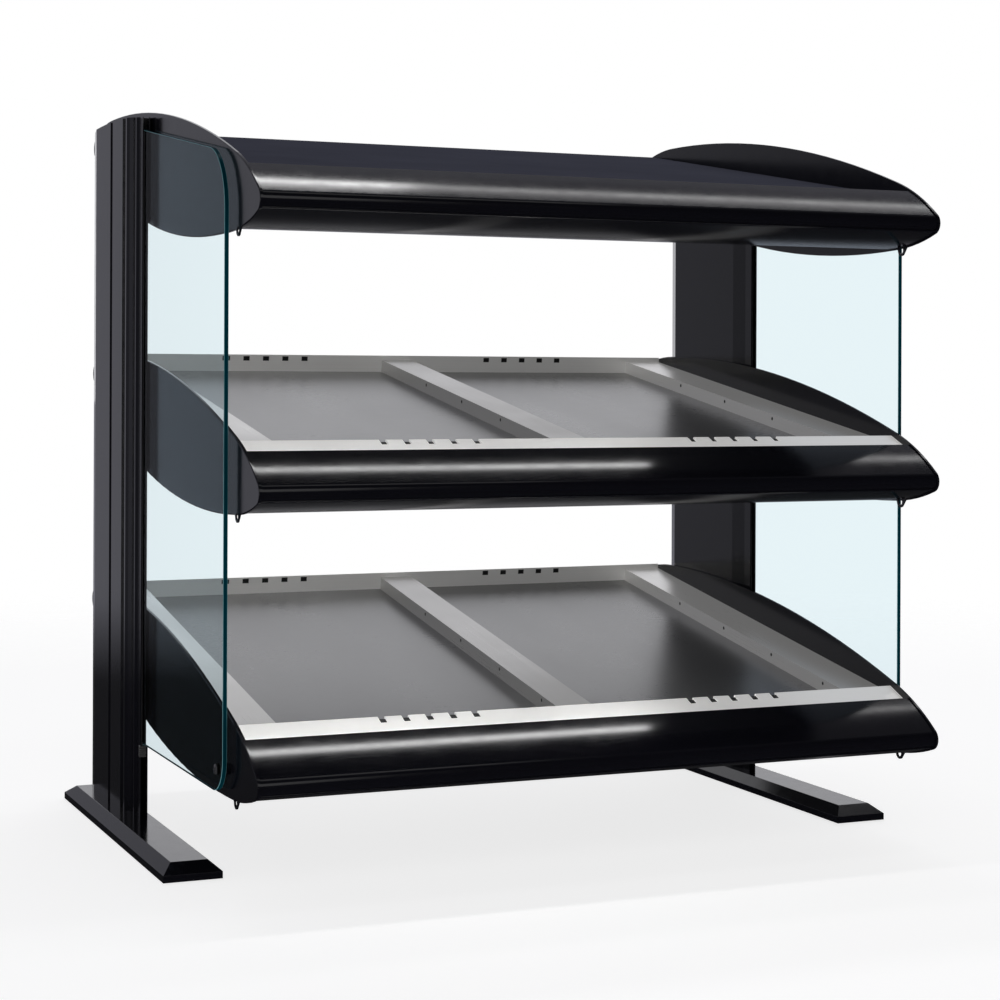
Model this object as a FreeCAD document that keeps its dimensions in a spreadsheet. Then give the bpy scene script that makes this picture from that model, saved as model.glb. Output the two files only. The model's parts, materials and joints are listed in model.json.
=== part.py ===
"""Two-shelf slanted hot food display case.

Every length is in millimetres. X runs along the shelves, Y from the customer's side to the back,
Z up. The origin is on the floor, under the middle of the case.

The canopy and the two shelves are three modules of one design. A module's pieces are drawn in a
level frame of their own: x along the shelf, s towards the back, n up. The finished module is
tilted about X and lifted to its height, so that its back stands higher than its front.
"""
import FreeCAD
import Part
import math
import os
import Sketcher

# Driving dimensions: alias, value, what it is.
DIMENSIONS = [
    ("tilt", 9.3, "slope of the canopy and shelves, degrees"),
    ("canopy_height", 799.5, "centre of the canopy above the floor"),
    ("shelf_pitch", 302.4, "height from one module to the next"),
    ("cap_span", 826.4, "across the outer faces of the end caps"),
    ("cap_gauge", 3.5, "thickness of an end cap"),
    ("cap_round", 1.2, "rounding of an end cap's outer edge"),
    ("lens_middle", 5.0, "module centre to the middle of an end cap, towards the back"),
    ("crown_radius", 1878.0, "radius of an end cap's upper edge"),
    ("crown_rise", 64.9, "top of that edge above the module centre"),
    ("belly_radius", 1489.0, "radius of an end cap's lower edge"),
    ("belly_drop", 72.1, "bottom of that edge below the module centre"),
    ("shoulder_radius", 288.0, "radius of the arcs that turn down into the noses"),
    ("nose_reach", 380.0, "middle of an end cap to the centre of a nose"),
    ("nose_level", -0.6, "height of the noses' centres"),
    ("nose_radius", 13.0, "radius of an end cap's noses"),
    ("eyelet_place", 313.0, "module centre to the eyelet, towards the front"),
    ("eyelet_drop", 39.0, "eyelet below the module centre"),
    ("eyelet_radius", 6.8, "outer radius of the eyelet"),
    ("eyelet_hole", 3.9, "radius of the hole in the eyelet"),
    ("eyelet_gauge", 1.6, "thickness of the eyelet"),
    ("eyelet_flare", 11.0, "half the length of the eyelet's root along the end cap"),
    ("eyelet_root", 5.0, "height of the eyelet's root above and below its centre"),
    ("foot_span", 925.0, "across the outer sides of the feet"),
    ("foot_width", 67.2, "width of a foot"),
    ("foot_front", -191.5, "front end of a foot"),
    ("foot_rear", 329.8, "rear end of a foot"),
    ("foot_edge", 9.0, "top of a foot's upright edge above the floor"),
    ("foot_top", 19.8, "top of a foot above the floor"),
    ("foot_side_slope", 12.4, "width of the slope along a foot's sides"),
    ("foot_end_slope", 17.8, "length of the slope at a foot's ends"),
    ("pad_gauge", 1.0, "thickness of a rubber foot pad"),
    ("pad_radius", 11.0, "radius of a rubber foot pad"),
    ("post_gauge", 22.0, "thickness of a post"),
    ("post_front", 68.0, "front edge of a post"),
    ("post_rear", 314.0, "rear edge of a post"),
    ("post_wall", 3.0, "wall around a post's wiring chambers"),
    ("post_crest", 875.7, "highest point of a post's curved top above the floor"),
    ("post_crest_place", 228.0, "place of that point along Y"),
    ("post_crest_radius", 2000.0, "radius of a post's curved top"),
    ("glass_gauge", 5.0, "thickness of the side glass"),
    ("glass_offset", 7.7, "post's inner face to the middle of the glass"),
    ("glass_front", -286.8, "front edge of the side glass"),
    ("glass_bottom", 110.8, "bottom edge of the side glass"),
    ("glass_top", 857.0, "top edge of the side glass at its rear"),
    ("glass_rear", 93.0, "rear edge of the side glass, inside the post"),
    ("glass_top_radius", 72.0, "radius of the glass's upper front corner"),
    ("glass_low_radius", 38.0, "radius of the glass's lower front corner"),
    ("channel_depth", 30.0, "depth of a post's glazing channel"),
    ("channel_width", 6.6, "width of a post's glazing channel"),
    ("shell_inset", 1.5, "bullnose surface inside the end cap's outline"),
    ("shell_wall", 3.0, "wall of the bullnose extrusion"),
    ("shell_top_end", -322.5, "rear edge of the bullnose along its top"),
    ("shell_low_end", -297.0, "rear edge of the bullnose along its underside"),
    ("shell_groove", 1.7, "radius of the shadow groove on the bullnose"),
    ("end_gap", 0.2, "gap between an end cap and the pieces between the caps"),
    ("gauge", 1.2, "sheet thickness of rails, covers and plates"),
    ("tray_front", -284.0, "rear face of the front rail"),
    ("tray_rear", 338.0, "front face of the rear rail"),
    ("plate_level", 11.0, "top of the heated plates"),
    ("rail_level", 27.7, "top of the side rails and divider"),
    ("front_rail_level", 36.8, "top of the front rail"),
    ("rear_rail_level", 34.2, "top of the rear rail"),
    ("rail_slope_run", 35.0, "depth of the front rail's sloping top"),
    ("rail_slope_drop", 8.4, "drop of that top from its rear edge to its front edge"),
    ("rear_rail_run", 14.5, "depth of the rear rail's sloping top"),
    ("rear_rail_drop", 8.0, "drop of that top from its front edge to its rear edge"),
    ("side_rail_inner", 356.0, "middle of the case to a side rail's inner face"),
    ("divider_width", 45.0, "width of the centre divider"),
    ("rail_hole", 2.3, "radius of the holes along the side rails and divider"),
    ("rail_hole_level", 22.0, "height of those holes"),
    ("rail_hole_pitch", 127.0, "distance between those holes"),
    ("rail_hole_first", -217.5, "place of the foremost hole"),
    ("slot_pitch", 27.5, "distance between divider slots"),
    ("slot_centre", 190.0, "middle of the case to the middle slot of a row"),
    ("slot_width", 7.5, "width of a slot across the front rail's rear edge"),
    ("slot_depth", 7.0, "depth of such a slot below the edge"),
    ("slot_length", 12.0, "length of such a slot along the rail's top"),
    ("window_width", 9.0, "width of a closed slot in the rear rail's face"),
    ("window_height", 6.8, "height of a closed slot"),
    ("window_drop", 1.7, "top of a closed slot below the rail's top edge"),
    ("pan_front", -292.6, "front face of a bottom pan"),
    ("pan_level", -17.0, "inside floor of a bottom pan"),
    ("mat_gauge", 1.5, "thickness of a heating mat"),
    ("cover_level", 25.0, "top of the canopy's cover"),
    ("fascia_face", 370.0, "rear face of a rear fascia"),
    ("fascia_half", 19.0, "half the height of a rear fascia's face"),
    ("heater_radius", 4.2, "radius of a tubular heater"),
    ("heater_level", -32.0, "axis of the tubular heaters"),
    ("heater_place", 125.0, "module centre to a tubular heater"),
    ("heater_length", 760.0, "length of a tubular heater"),
    ("wire_radius", 1.6, "radius of the guard's wires"),
    ("guard_level", -43.0, "axis of the guard's cross wires"),
    ("guard_reach", 190.0, "module centre to the guard's side wires"),
    ("rocker_place", 300.0, "middle of the case to a rocker switch"),
    ("rocker_radius", 10.0, "radius of a rocker about its pivot"),
    ("rocker_width", 22.0, "width of a rocker"),
    ("rocker_pivot", 367.5, "place of a rocker's pivot"),
    ("rocker_gap", 0.6, "gap around a rocker"),
    ("pin_radius", 1.5, "radius of a rocker's pivot pins"),
    ("running_gap", 0.05, "radial gap of a pin or shaft in its hole"),
    ("knob_place", 220.0, "middle of the case to a thermostat knob"),
    ("knob_radius", 17.0, "radius of a knob"),
    ("knob_base", 374.0, "inner end of a knob"),
    ("knob_height", 14.0, "height of a knob"),
    ("shaft_radius", 3.0, "radius of a thermostat's shaft"),
    ("gland_place", -330.0, "place of the cord gland along X"),
]

SHELVES = ("middle", "lower")
MODULES = ("canopy",) + SHELVES
SIDES = {"left": -1, "right": 1}


class Dim:
    """A length: the expression that binds a property to the sheet, and its value now."""

    def __init__(self, text, value):
        self.text = text
        self.value = value

    def __add__(self, other):
        return combine(self, "+", other)

    def __radd__(self, other):
        return combine(other, "+", self)

    def __sub__(self, other):
        return combine(self, "-", other)

    def __rsub__(self, other):
        return combine(other, "-", self)

    def __mul__(self, other):
        return combine(self, "*", other)

    def __rmul__(self, other):
        return combine(other, "*", self)

    def __truediv__(self, other):
        return combine(self, "/", other)

    def __neg__(self):
        return combine(-1, "*", self)


def as_dim(number):
    """A Dim as it is, or a plain number as a Dim."""
    if isinstance(number, Dim):
        return number
    return Dim("(%r)" % float(number), float(number))


def combine(first, sign, second):
    """The Dim for one sum, difference, product or quotient."""
    first = as_dim(first)
    second = as_dim(second)
    results = {
        "+": lambda a, b: a + b,
        "-": lambda a, b: a - b,
        "*": lambda a, b: a * b,
        "/": lambda a, b: a / b,
    }
    text = "(%s %s %s)" % (first.text, sign, second.text)
    return Dim(text, results[sign](first.value, second.value))


def bind(target, name, length):
    """Binds one property of an object to the sheet."""
    target.setExpression(name, as_dim(length).text)


class Sheet:
    """The spreadsheet of driving dimensions. Each alias reads back as a Dim."""

    def __init__(self, document):
        cells = document.addObject("Spreadsheet::Sheet", "Dims")
        for row, (alias, value, meaning) in enumerate(DIMENSIONS, start=1):
            cells.set("A%d" % row, alias)
            cells.set("B%d" % row, str(value))
            cells.setAlias("B%d" % row, alias)
            cells.set("C%d" % row, meaning)
        document.recompute()
        for alias, value, meaning in DIMENSIONS:
            setattr(self, alias, Dim("Dims.%s" % alias, float(cells.get(alias))))


doc = FreeCAD.newDocument("display_case")
dims = Sheet(doc)
nodes = {}


# ---------------------------------------------------------------------------
# Sketches and features
# ---------------------------------------------------------------------------

def new_body(label):
    """A body whose label is the node's name."""
    body = doc.addObject("PartDesign::Body", label)
    body.Label = label
    nodes[label] = body
    return body


def new_sketch(body, name, role, lift=0.0):
    """A sketch on one of the body's own origin planes, lifted along the plane's normal."""
    sketch = body.newObject("Sketcher::SketchObject", name)
    plane = [feature for feature in body.Origin.OriginFeatures if feature.Role == role][0]
    sketch.AttachmentSupport = (plane, [""])
    sketch.MapMode = "FlatFace"
    lift = as_dim(lift)
    sketch.AttachmentOffset = FreeCAD.Placement(FreeCAD.Vector(0, 0, lift.value), FreeCAD.Rotation())
    bind(sketch, "AttachmentOffset.Base.z", lift)
    return sketch


def fix_point(sketch, item, end, across, up):
    """Holds a point of the sketch at two bound distances from the sketch's origin."""
    for kind, length in (("DistanceX", as_dim(across)), ("DistanceY", as_dim(up))):
        index = sketch.addConstraint(Sketcher.Constraint(kind, -1, 1, item, end, length.value))
        bind(sketch, "Constraints[%d]" % index, length)


def fix_radius(sketch, item, radius):
    """Holds the radius of a circle or arc."""
    index = sketch.addConstraint(Sketcher.Constraint("Radius", item, radius.value))
    bind(sketch, "Constraints[%d]" % index, radius)


def draw_outline(sketch, corners):
    """A closed outline of straight lines through the corners."""
    points = [FreeCAD.Vector(as_dim(a).value, as_dim(b).value, 0) for a, b in corners]
    count = len(points)
    first = sketch.GeometryCount
    for index in range(count):
        sketch.addGeometry(Part.LineSegment(points[index], points[(index + 1) % count]), False)
    for index in range(count):
        line = first + index
        following = first + (index + 1) % count
        sketch.addConstraint(Sketcher.Constraint("Coincident", line, 2, following, 1))
        fix_point(sketch, line, 1, *corners[index])


def draw_box(sketch, low_across, low_up, high_across, high_up):
    """A rectangle between two opposite corners."""
    draw_outline(sketch, [
        (low_across, low_up),
        (high_across, low_up),
        (high_across, high_up),
        (low_across, high_up),
    ])


def draw_circle(sketch, across, up, radius):
    """A circle."""
    centre = FreeCAD.Vector(as_dim(across).value, as_dim(up).value, 0)
    radius = as_dim(radius)
    circle = sketch.addGeometry(Part.Circle(centre, FreeCAD.Vector(0, 0, 1), radius.value), False)
    fix_point(sketch, circle, 3, across, up)
    fix_radius(sketch, circle, radius)


def shoulder_centre(big, big_radius, nose):
    """Centre of the arc that runs tangent from the crown or the belly into a nose."""
    far = big_radius.value - dims.shoulder_radius.value
    near = dims.shoulder_radius.value - dims.nose_radius.value
    line = nose - big
    gap = line.Length
    along = (far ** 2 - near ** 2 + gap ** 2) / (2 * gap)
    aside = math.sqrt(far ** 2 - along ** 2)
    foot = big + line * (along / gap)
    square = FreeCAD.Vector(-line.y, line.x, 0) * (aside / gap)
    return min((foot + square, foot - square), key=lambda point: abs(point.x - big.x))


def bearing(start, finish):
    """Direction from one point to another, as an angle."""
    return math.atan2(finish.y - start.y, finish.x - start.x)


def draw_lens(sketch, inset=0.0):
    """The outline that all modules share: crown, belly and two noses, joined by shoulder arcs."""
    middle = dims.lens_middle
    crown_level = dims.crown_rise - dims.crown_radius
    belly_level = dims.belly_radius - dims.belly_drop
    crown = FreeCAD.Vector(middle.value, crown_level.value, 0)
    belly = FreeCAD.Vector(middle.value, belly_level.value, 0)
    front = FreeCAD.Vector((middle - dims.nose_reach).value, dims.nose_level.value, 0)
    rear = FreeCAD.Vector((middle + dims.nose_reach).value, dims.nose_level.value, 0)
    high_front = shoulder_centre(crown, dims.crown_radius, front)
    high_rear = shoulder_centre(crown, dims.crown_radius, rear)
    low_front = shoulder_centre(belly, dims.belly_radius, front)
    low_rear = shoulder_centre(belly, dims.belly_radius, rear)
    arcs = [
        (crown, dims.crown_radius, bearing(crown, high_rear), bearing(crown, high_front)),
        (high_front, dims.shoulder_radius, bearing(crown, high_front), bearing(high_front, front)),
        (front, dims.nose_radius, bearing(high_front, front), bearing(low_front, front)),
        (low_front, dims.shoulder_radius, bearing(low_front, front), bearing(belly, low_front)),
        (belly, dims.belly_radius, bearing(belly, low_front), bearing(belly, low_rear)),
        (low_rear, dims.shoulder_radius, bearing(belly, low_rear), bearing(low_rear, rear)),
        (rear, dims.nose_radius, bearing(low_rear, rear), bearing(high_rear, rear)),
        (high_rear, dims.shoulder_radius, bearing(high_rear, rear), bearing(crown, high_rear)),
    ]
    for centre, radius, start, finish in arcs:
        circle = Part.Circle(centre, FreeCAD.Vector(0, 0, 1), (radius - inset).value)
        if finish < start:
            finish = finish + 2 * math.pi
        sketch.addGeometry(Part.ArcOfCircle(circle, start, finish), False)
    for index in range(len(arcs)):
        following = (index + 1) % len(arcs)
        sketch.addConstraint(Sketcher.Constraint("Tangent", index, 2, following, 1))
    fix_point(sketch, 0, 3, middle, crown_level)
    fix_point(sketch, 2, 3, middle - dims.nose_reach, dims.nose_level)
    fix_point(sketch, 4, 3, middle, belly_level)
    fix_point(sketch, 6, 3, middle + dims.nose_reach, dims.nose_level)
    for index, (centre, radius, start, finish) in enumerate(arcs):
        fix_radius(sketch, index, radius - inset)


def add_pad(body, sketch, length, midplane=False, backwards=False):
    """Extrudes a sketch."""
    pad = body.newObject("PartDesign::Pad", "Pad")
    pad.Profile = sketch
    pad.Midplane = midplane
    pad.Reversed = backwards
    bind(pad, "Length", length)
    sketch.Visibility = False
    body.Tip = pad
    doc.recompute()
    return pad


def add_pocket(body, sketch, length, midplane=False, backwards=False):
    """Cuts a sketch out of the body, and makes sure that the cut takes something away."""
    before = body.Shape.Volume
    pocket = body.newObject("PartDesign::Pocket", "Pocket")
    pocket.Profile = sketch
    pocket.Midplane = midplane
    pocket.Reversed = backwards
    bind(pocket, "Length", length)
    body.Tip = pocket
    doc.recompute()
    if body.Shape.Volume >= before:
        raise RuntimeError("%s: %s cuts nothing" % (body.Label, sketch.Name))
    return pocket


def repeat(body, feature, sketch, axis, pitch, count):
    """A row of one feature along an axis of its sketch."""
    row = body.newObject("PartDesign::LinearPattern", "Row")
    row.Originals = [feature]
    row.Direction = (sketch, [axis])
    row.Occurrences = count
    bind(row, "Length", pitch * (count - 1))
    body.Tip = row
    doc.recompute()
    return row


def soften(body, radius, wanted):
    """Rounds the edges that wanted() picks."""
    base = body.Tip
    edges = base.Shape.Edges
    names = ["Edge%d" % (index + 1) for index, edge in enumerate(edges) if wanted(edge)]
    fillet = body.newObject("PartDesign::Fillet", "Fillet")
    fillet.Base = (base, names)
    bind(fillet, "Radius", radius)
    body.Tip = fillet
    doc.recompute()
    return fillet


def lies_at(edge, axis, value, tolerance=1e-3):
    """Whether a whole edge lies in a plane square to one axis."""
    box = edge.BoundBox
    low = getattr(box, axis + "Min")
    high = getattr(box, axis + "Max")
    return abs(low - value) < tolerance and abs(high - value) < tolerance


def group(label, members):
    """One node of several separate solids."""
    compound = doc.addObject("Part::Compound", label)
    compound.Links = members
    compound.Label = label
    nodes[label] = compound
    return compound


def new_box(name, low, high):
    """A plain block between two corners, as a member of a group or a boolean."""
    box = doc.addObject("Part::Box", name)
    low = [as_dim(value) for value in low]
    high = [as_dim(value) for value in high]
    for index, size in enumerate(("Length", "Width", "Height")):
        bind(box, size, high[index] - low[index])
    box.Placement.Base = FreeCAD.Vector(*[value.value for value in low])
    return box


def new_cylinder(name, radius, height, start, direction):
    """A round bar from a start point along a direction."""
    bar = doc.addObject("Part::Cylinder", name)
    bind(bar, "Radius", radius)
    bind(bar, "Height", height)
    turn = FreeCAD.Rotation(FreeCAD.Vector(0, 0, 1), FreeCAD.Vector(*direction))
    bar.Placement = FreeCAD.Placement(FreeCAD.Vector(*[as_dim(value).value for value in start]), turn)
    return bar


def cut(name, base, tool):
    """One piece less another."""
    result = doc.addObject("Part::Cut", name)
    result.Base = base
    result.Tool = tool
    return result


def fuse(name, members):
    """Several pieces made into one."""
    result = doc.addObject("Part::MultiFuse", name)
    result.Shapes = members
    return result


# ---------------------------------------------------------------------------
# Places
# ---------------------------------------------------------------------------

def module_height(module):
    """Height of a module's centre above the floor."""
    return dims.canopy_height - dims.shelf_pitch * MODULES.index(module)


def module_frame(module):
    """The placement that tilts a module and lifts it to its height."""
    lift = FreeCAD.Vector(0, 0, module_height(module).value)
    return FreeCAD.Placement(lift, FreeCAD.Rotation(FreeCAD.Vector(1, 0, 0), dims.tilt.value))


def put_in(module, piece, x=0.0, s=0.0, n=0.0):
    """Places a piece that was drawn in the level frame of a module."""
    own = FreeCAD.Placement(piece.Placement)
    shift = FreeCAD.Vector(as_dim(x).value, as_dim(s).value, as_dim(n).value)
    own.Base = own.Base + shift
    piece.Placement = module_frame(module).multiply(own)


def cap_outer():
    """Middle of the case to an end cap's outer face, which is a post's inner face too."""
    return dims.cap_span / 2


def between_caps():
    """Length of a piece that fits between the two end caps."""
    return dims.cap_span - 2 * dims.cap_gauge - 2 * dims.end_gap


def glass_plane():
    """Middle of the case to the middle of the side glass."""
    return cap_outer() + dims.glass_offset


# ---------------------------------------------------------------------------
# Feet, posts and side glass
# ---------------------------------------------------------------------------

# Front and rear of a post's two wiring chambers, and the wall left between them for a screw.
POST_CHAMBERS = ((136.0, 180.0), (200.0, 264.0))
POST_EXCESS = 120.0
CHANNEL_LIP = 1.3

# Screws up through a foot into a post, at these places from front to back.
POST_SCREWS = (104.0, 190.0)
SCREW_RADIUS = 4.0
SCREW_HEAD_RADIUS = 7.0
SCREW_HEAD_HEIGHT = 6.0
SCREW_REACH = 50.0

# Screws from inside a module through its end cap into a post, at these places along the module.
CAP_SCREWS = (130.0, 240.0)
CAP_SCREW_LEVEL = -6.0
CAP_SCREW_RADIUS = 3.0
CAP_SCREW_REACH = 12.0


def foot_centre(sign):
    """Middle line of a foot along X."""
    return sign * (dims.foot_span - dims.foot_width) / 2


def post_middle(sign):
    """Middle of a post's thickness along X."""
    return sign * (cap_outer() + dims.post_gauge / 2)


def make_foot(side, sign):
    """A flat bar foot with sloping sides and ends, and counterbored holes for the post's screws."""
    body = new_body("foot_" + side)
    half = dims.foot_width / 2
    base = new_sketch(body, "Base", "XY_Plane", dims.pad_gauge)
    draw_box(base, -half, dims.foot_front, half, dims.foot_rear)
    add_pad(body, base, dims.foot_edge - dims.pad_gauge)

    lower = new_sketch(body, "SlopeFoot", "XY_Plane", dims.foot_edge)
    draw_box(lower, -half, dims.foot_front, half, dims.foot_rear)
    upper = new_sketch(body, "SlopeTop", "XY_Plane", dims.foot_top)
    top_half = half - dims.foot_side_slope
    front = dims.foot_front + dims.foot_end_slope
    rear = dims.foot_rear - dims.foot_end_slope
    draw_box(upper, -top_half, front, top_half, rear)
    doc.recompute()
    slope = body.newObject("PartDesign::AdditiveLoft", "Slope")
    slope.Profile = lower
    slope.Sections = [upper]
    slope.Ruled = True
    body.Tip = slope
    doc.recompute()

    across = post_middle(sign) - foot_centre(sign)
    bores = new_sketch(body, "ScrewHoles", "XY_Plane", dims.pad_gauge)
    heads = new_sketch(body, "HeadHoles", "XY_Plane", dims.pad_gauge)
    for place in POST_SCREWS:
        draw_circle(bores, across, place, SCREW_RADIUS + 0.3)
        draw_circle(heads, across, place, SCREW_HEAD_RADIUS + 0.4)
    add_pocket(body, bores, dims.foot_top, backwards=True)
    add_pocket(body, heads, SCREW_HEAD_HEIGHT + 0.8, backwards=True)
    soften(body, 0.8, is_foot_rim)
    body.Placement.Base.x = foot_centre(sign).value


def is_foot_rim(edge):
    """The edges around a foot's upright edge and its top."""
    levels = (dims.foot_edge.value, dims.foot_top.value)
    straight = edge.Curve.TypeId == "Part::GeomLine"
    return straight and any(lies_at(edge, "Z", level) for level in levels)


def make_foot_pads():
    """Rubber discs under the feet."""
    inset = 40.0
    pads = []
    for sign in SIDES.values():
        for place in (dims.foot_front + inset, dims.foot_rear - inset, 30.0):
            start = (foot_centre(sign), place, 0)
            pads.append(new_cylinder("Pad", dims.pad_radius, dims.pad_gauge, start, (0, 0, 1)))
    group("foot_pads", pads)


def make_base_screws():
    """Screws that go up through the feet into the posts."""
    head_low = dims.pad_gauge + 0.8
    screws = []
    for sign in SIDES.values():
        for place in POST_SCREWS:
            start = (post_middle(sign), place, head_low)
            head = new_cylinder("Head", SCREW_HEAD_RADIUS, SCREW_HEAD_HEIGHT, start, (0, 0, 1))
            shank = new_cylinder("Shank", SCREW_RADIUS, SCREW_REACH, start, (0, 0, 1))
            screws.append(fuse("Screw", [head, shank]))
    group("base_screws", screws)


def post_section(sign):
    """Plan of a post, from its inner face outwards: a slim hollow fin with a glazing channel."""
    front = dims.post_front
    rear = dims.post_rear
    gauge = dims.post_gauge
    channel_low = dims.glass_offset - dims.channel_width / 2
    channel_high = dims.glass_offset + dims.channel_width / 2
    lip_low = channel_low - CHANNEL_LIP
    lip_high = channel_high + CHANNEL_LIP
    inner_side = [
        (lip_low, front),
        (lip_low, front + 16),
        (0, front + 45),
        (0, rear - 30),
    ]
    back_edge = [
        (gauge / 2, rear),
        (gauge - 6, rear),
        (gauge, rear - 36),
    ]
    rear_groove = [
        (gauge, front + 129),
        (gauge - 3, front + 127),
        (gauge - 3, front + 119),
        (gauge, front + 117),
    ]
    front_groove = [
        (gauge, front + 63),
        (gauge - 4, front + 60),
        (gauge - 4, front + 50),
        (gauge, front + 47),
    ]
    stepped_shoulder = [
        (gauge, front + 41.5),
        (gauge - 2.5, front + 36),
        (gauge - 5, front + 28),
        (gauge - 6.5, front + 26.5),
        (gauge - 7, front + 20),
        (lip_high, front + 16),
    ]
    channel = [
        (lip_high, front),
        (channel_high, front),
        (channel_high, front + dims.channel_depth),
        (channel_low, front + dims.channel_depth),
        (channel_low, front),
    ]
    corners = inner_side + back_edge + rear_groove + front_groove + stepped_shoulder + channel
    return [(sign * (cap_outer() + across), along) for across, along in corners]


def cut_post_top(body):
    """Cuts a post's top along a flat arc."""
    radius = dims.post_crest_radius
    level = dims.post_crest - radius
    centre = FreeCAD.Vector(dims.post_crest_place.value, level.value, 0)
    high = (dims.post_crest + POST_EXCESS).value
    margin = 20.0
    rear_turn = math.acos((dims.post_rear.value + margin - centre.x) / radius.value)
    front_turn = math.acos((dims.post_front.value - margin - centre.x) / radius.value)
    trim = new_sketch(body, "TopTrim", "YZ_Plane")
    circle = Part.Circle(centre, FreeCAD.Vector(0, 0, 1), radius.value)
    arc = trim.addGeometry(Part.ArcOfCircle(circle, rear_turn, front_turn), False)
    rear_end = trim.getPoint(arc, 1)
    front_end = trim.getPoint(arc, 2)
    corners = [front_end, FreeCAD.Vector(front_end.x, high, 0), FreeCAD.Vector(rear_end.x, high, 0), rear_end]
    for first, second in zip(corners, corners[1:]):
        trim.addGeometry(Part.LineSegment(first, second), False)
    for first, first_end, second, second_end in ((0, 2, 1, 1), (1, 2, 2, 1), (2, 2, 3, 1), (3, 2, 0, 1)):
        trim.addConstraint(Sketcher.Constraint("Coincident", first, first_end, second, second_end))
    fix_point(trim, arc, 3, dims.post_crest_place, level)
    fix_radius(trim, arc, radius)
    add_pocket(body, trim, 2 * dims.foot_span, midplane=True)


def make_post(side, sign):
    """A post: an extrusion with two wiring chambers and tapped holes for its screws."""
    body = new_body("post_" + side)
    plan = new_sketch(body, "Plan", "XY_Plane", dims.foot_top)
    draw_outline(plan, post_section(sign))
    add_pad(body, plan, dims.canopy_height + POST_EXCESS)
    cut_post_top(body)

    inner = cap_outer() + dims.post_wall
    outer = cap_outer() + dims.post_gauge - dims.post_wall - 2
    chambers = new_sketch(body, "Chambers", "XY_Plane", dims.foot_top)
    for low, high in POST_CHAMBERS:
        draw_box(chambers, sign * inner, low, sign * outer, high)
    add_pocket(body, chambers, dims.canopy_height + 40, backwards=True)

    taps = new_sketch(body, "BaseTaps", "XY_Plane", dims.foot_top)
    for place in POST_SCREWS:
        draw_circle(taps, post_middle(sign), place, SCREW_RADIUS)
    add_pocket(body, taps, SCREW_REACH, backwards=True)

    side_taps = new_sketch(body, "CapTaps", "YZ_Plane", sign * cap_outer())
    for module in MODULES:
        for place in CAP_SCREWS:
            centre = module_frame(module).multVec(FreeCAD.Vector(0, place, CAP_SCREW_LEVEL))
            draw_circle(side_taps, centre.y, centre.z, CAP_SCREW_RADIUS)
    add_pocket(body, side_taps, CAP_SCREW_REACH, backwards=sign > 0)


def make_glazing_seals():
    """U-shaped rubber strips that line the posts' glazing channels."""
    low = dims.glass_bottom - 2
    height = 742.0
    lip = 1.4
    seals = []
    for side, sign in SIDES.items():
        body = doc.addObject("PartDesign::Body", "Seal_" + side)
        plan = new_sketch(body, "Plan", "XY_Plane", low)
        outer = dims.channel_width / 2
        inner = dims.glass_gauge / 2
        floor = dims.post_front + dims.channel_depth
        draw_outline(plan, [(sign * glass_plane() + across, along) for across, along in (
            (-outer, dims.post_front - lip),
            (-inner, dims.post_front - lip),
            (-inner, dims.glass_rear),
            (inner, dims.glass_rear),
            (inner, dims.post_front - lip),
            (outer, dims.post_front - lip),
            (outer, floor),
            (-outer, floor),
        )])
        add_pad(body, plan, height)
        seals.append(body)
    group("glazing_seals", seals)


def make_side_glass(side, sign):
    """A side pane: upright front edge, level bottom, top parallel to the canopy, round corners."""
    body = new_body("side_glass_" + side)
    rise = math.tan(math.radians(dims.tilt.value))
    top_front = dims.glass_top - rise * (dims.glass_rear - dims.glass_front)
    pane = new_sketch(body, "Pane", "YZ_Plane")
    draw_outline(pane, [
        (dims.glass_front, dims.glass_bottom),
        (dims.glass_rear, dims.glass_bottom),
        (dims.glass_rear, dims.glass_top),
        (dims.glass_front, top_front),
    ])
    add_pad(body, pane, dims.glass_gauge, midplane=True)

    def is_front_corner(edge, low_end):
        middle = edge.BoundBox.Center
        upright = abs(edge.BoundBox.XLength - dims.glass_gauge.value) < 0.01
        at_front = abs(middle.y - dims.glass_front.value) < 0.01
        is_low = abs(middle.z - dims.glass_bottom.value) < 0.01
        return upright and at_front and is_low == low_end

    soften(body, dims.glass_top_radius, lambda edge: is_front_corner(edge, False))
    soften(body, dims.glass_low_radius, lambda edge: is_front_corner(edge, True))
    half = dims.glass_gauge.value / 2
    soften(body, 0.6, lambda edge: lies_at(edge, "X", half) or lies_at(edge, "X", -half))
    body.Placement.Base.x = sign * glass_plane().value


def make_glass_clips():
    """Bent clips that wrap a post's outer lip and carry the bottom edge of the glass."""
    top = dims.glass_bottom
    height = 16.0
    front = dims.post_front
    tongue = dims.channel_width / 3
    outside = dims.channel_width / 2 + CHANNEL_LIP
    clips = []
    for side, sign in SIDES.items():
        body = doc.addObject("PartDesign::Body", "Clip_" + side)
        plan = new_sketch(body, "Plan", "XY_Plane", top - height)
        draw_outline(plan, [(sign * (glass_plane() + across), along) for across, along in (
            (outside + dims.gauge, front + 4),
            (outside, front + 4),
            (outside, front),
            (tongue, front),
            (tongue, front + 24),
            (-tongue, front + 24),
            (-tongue, front - 2),
            (outside + dims.gauge, front - 2),
        )])
        # The seal reaches 2 mm below the glass, so the clip stops there too.
        add_pad(body, plan, height - 2)
        clips.append(body)
    group("glass_clips", clips)


def make_glass_spacers():
    """Clear buttons that hold the glass off the lower end caps near its front corner."""
    place = -261.0
    level = 135.0
    radius = 6.5
    spacers = []
    for sign in SIDES.values():
        gap = dims.glass_offset - dims.glass_gauge / 2
        start = (sign * cap_outer(), place, level)
        spacers.append(new_cylinder("Spacer", radius, gap, start, (sign, 0, 0)))
    group("glass_spacers", spacers)


# ---------------------------------------------------------------------------
# Pieces that every module has
# ---------------------------------------------------------------------------

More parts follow.
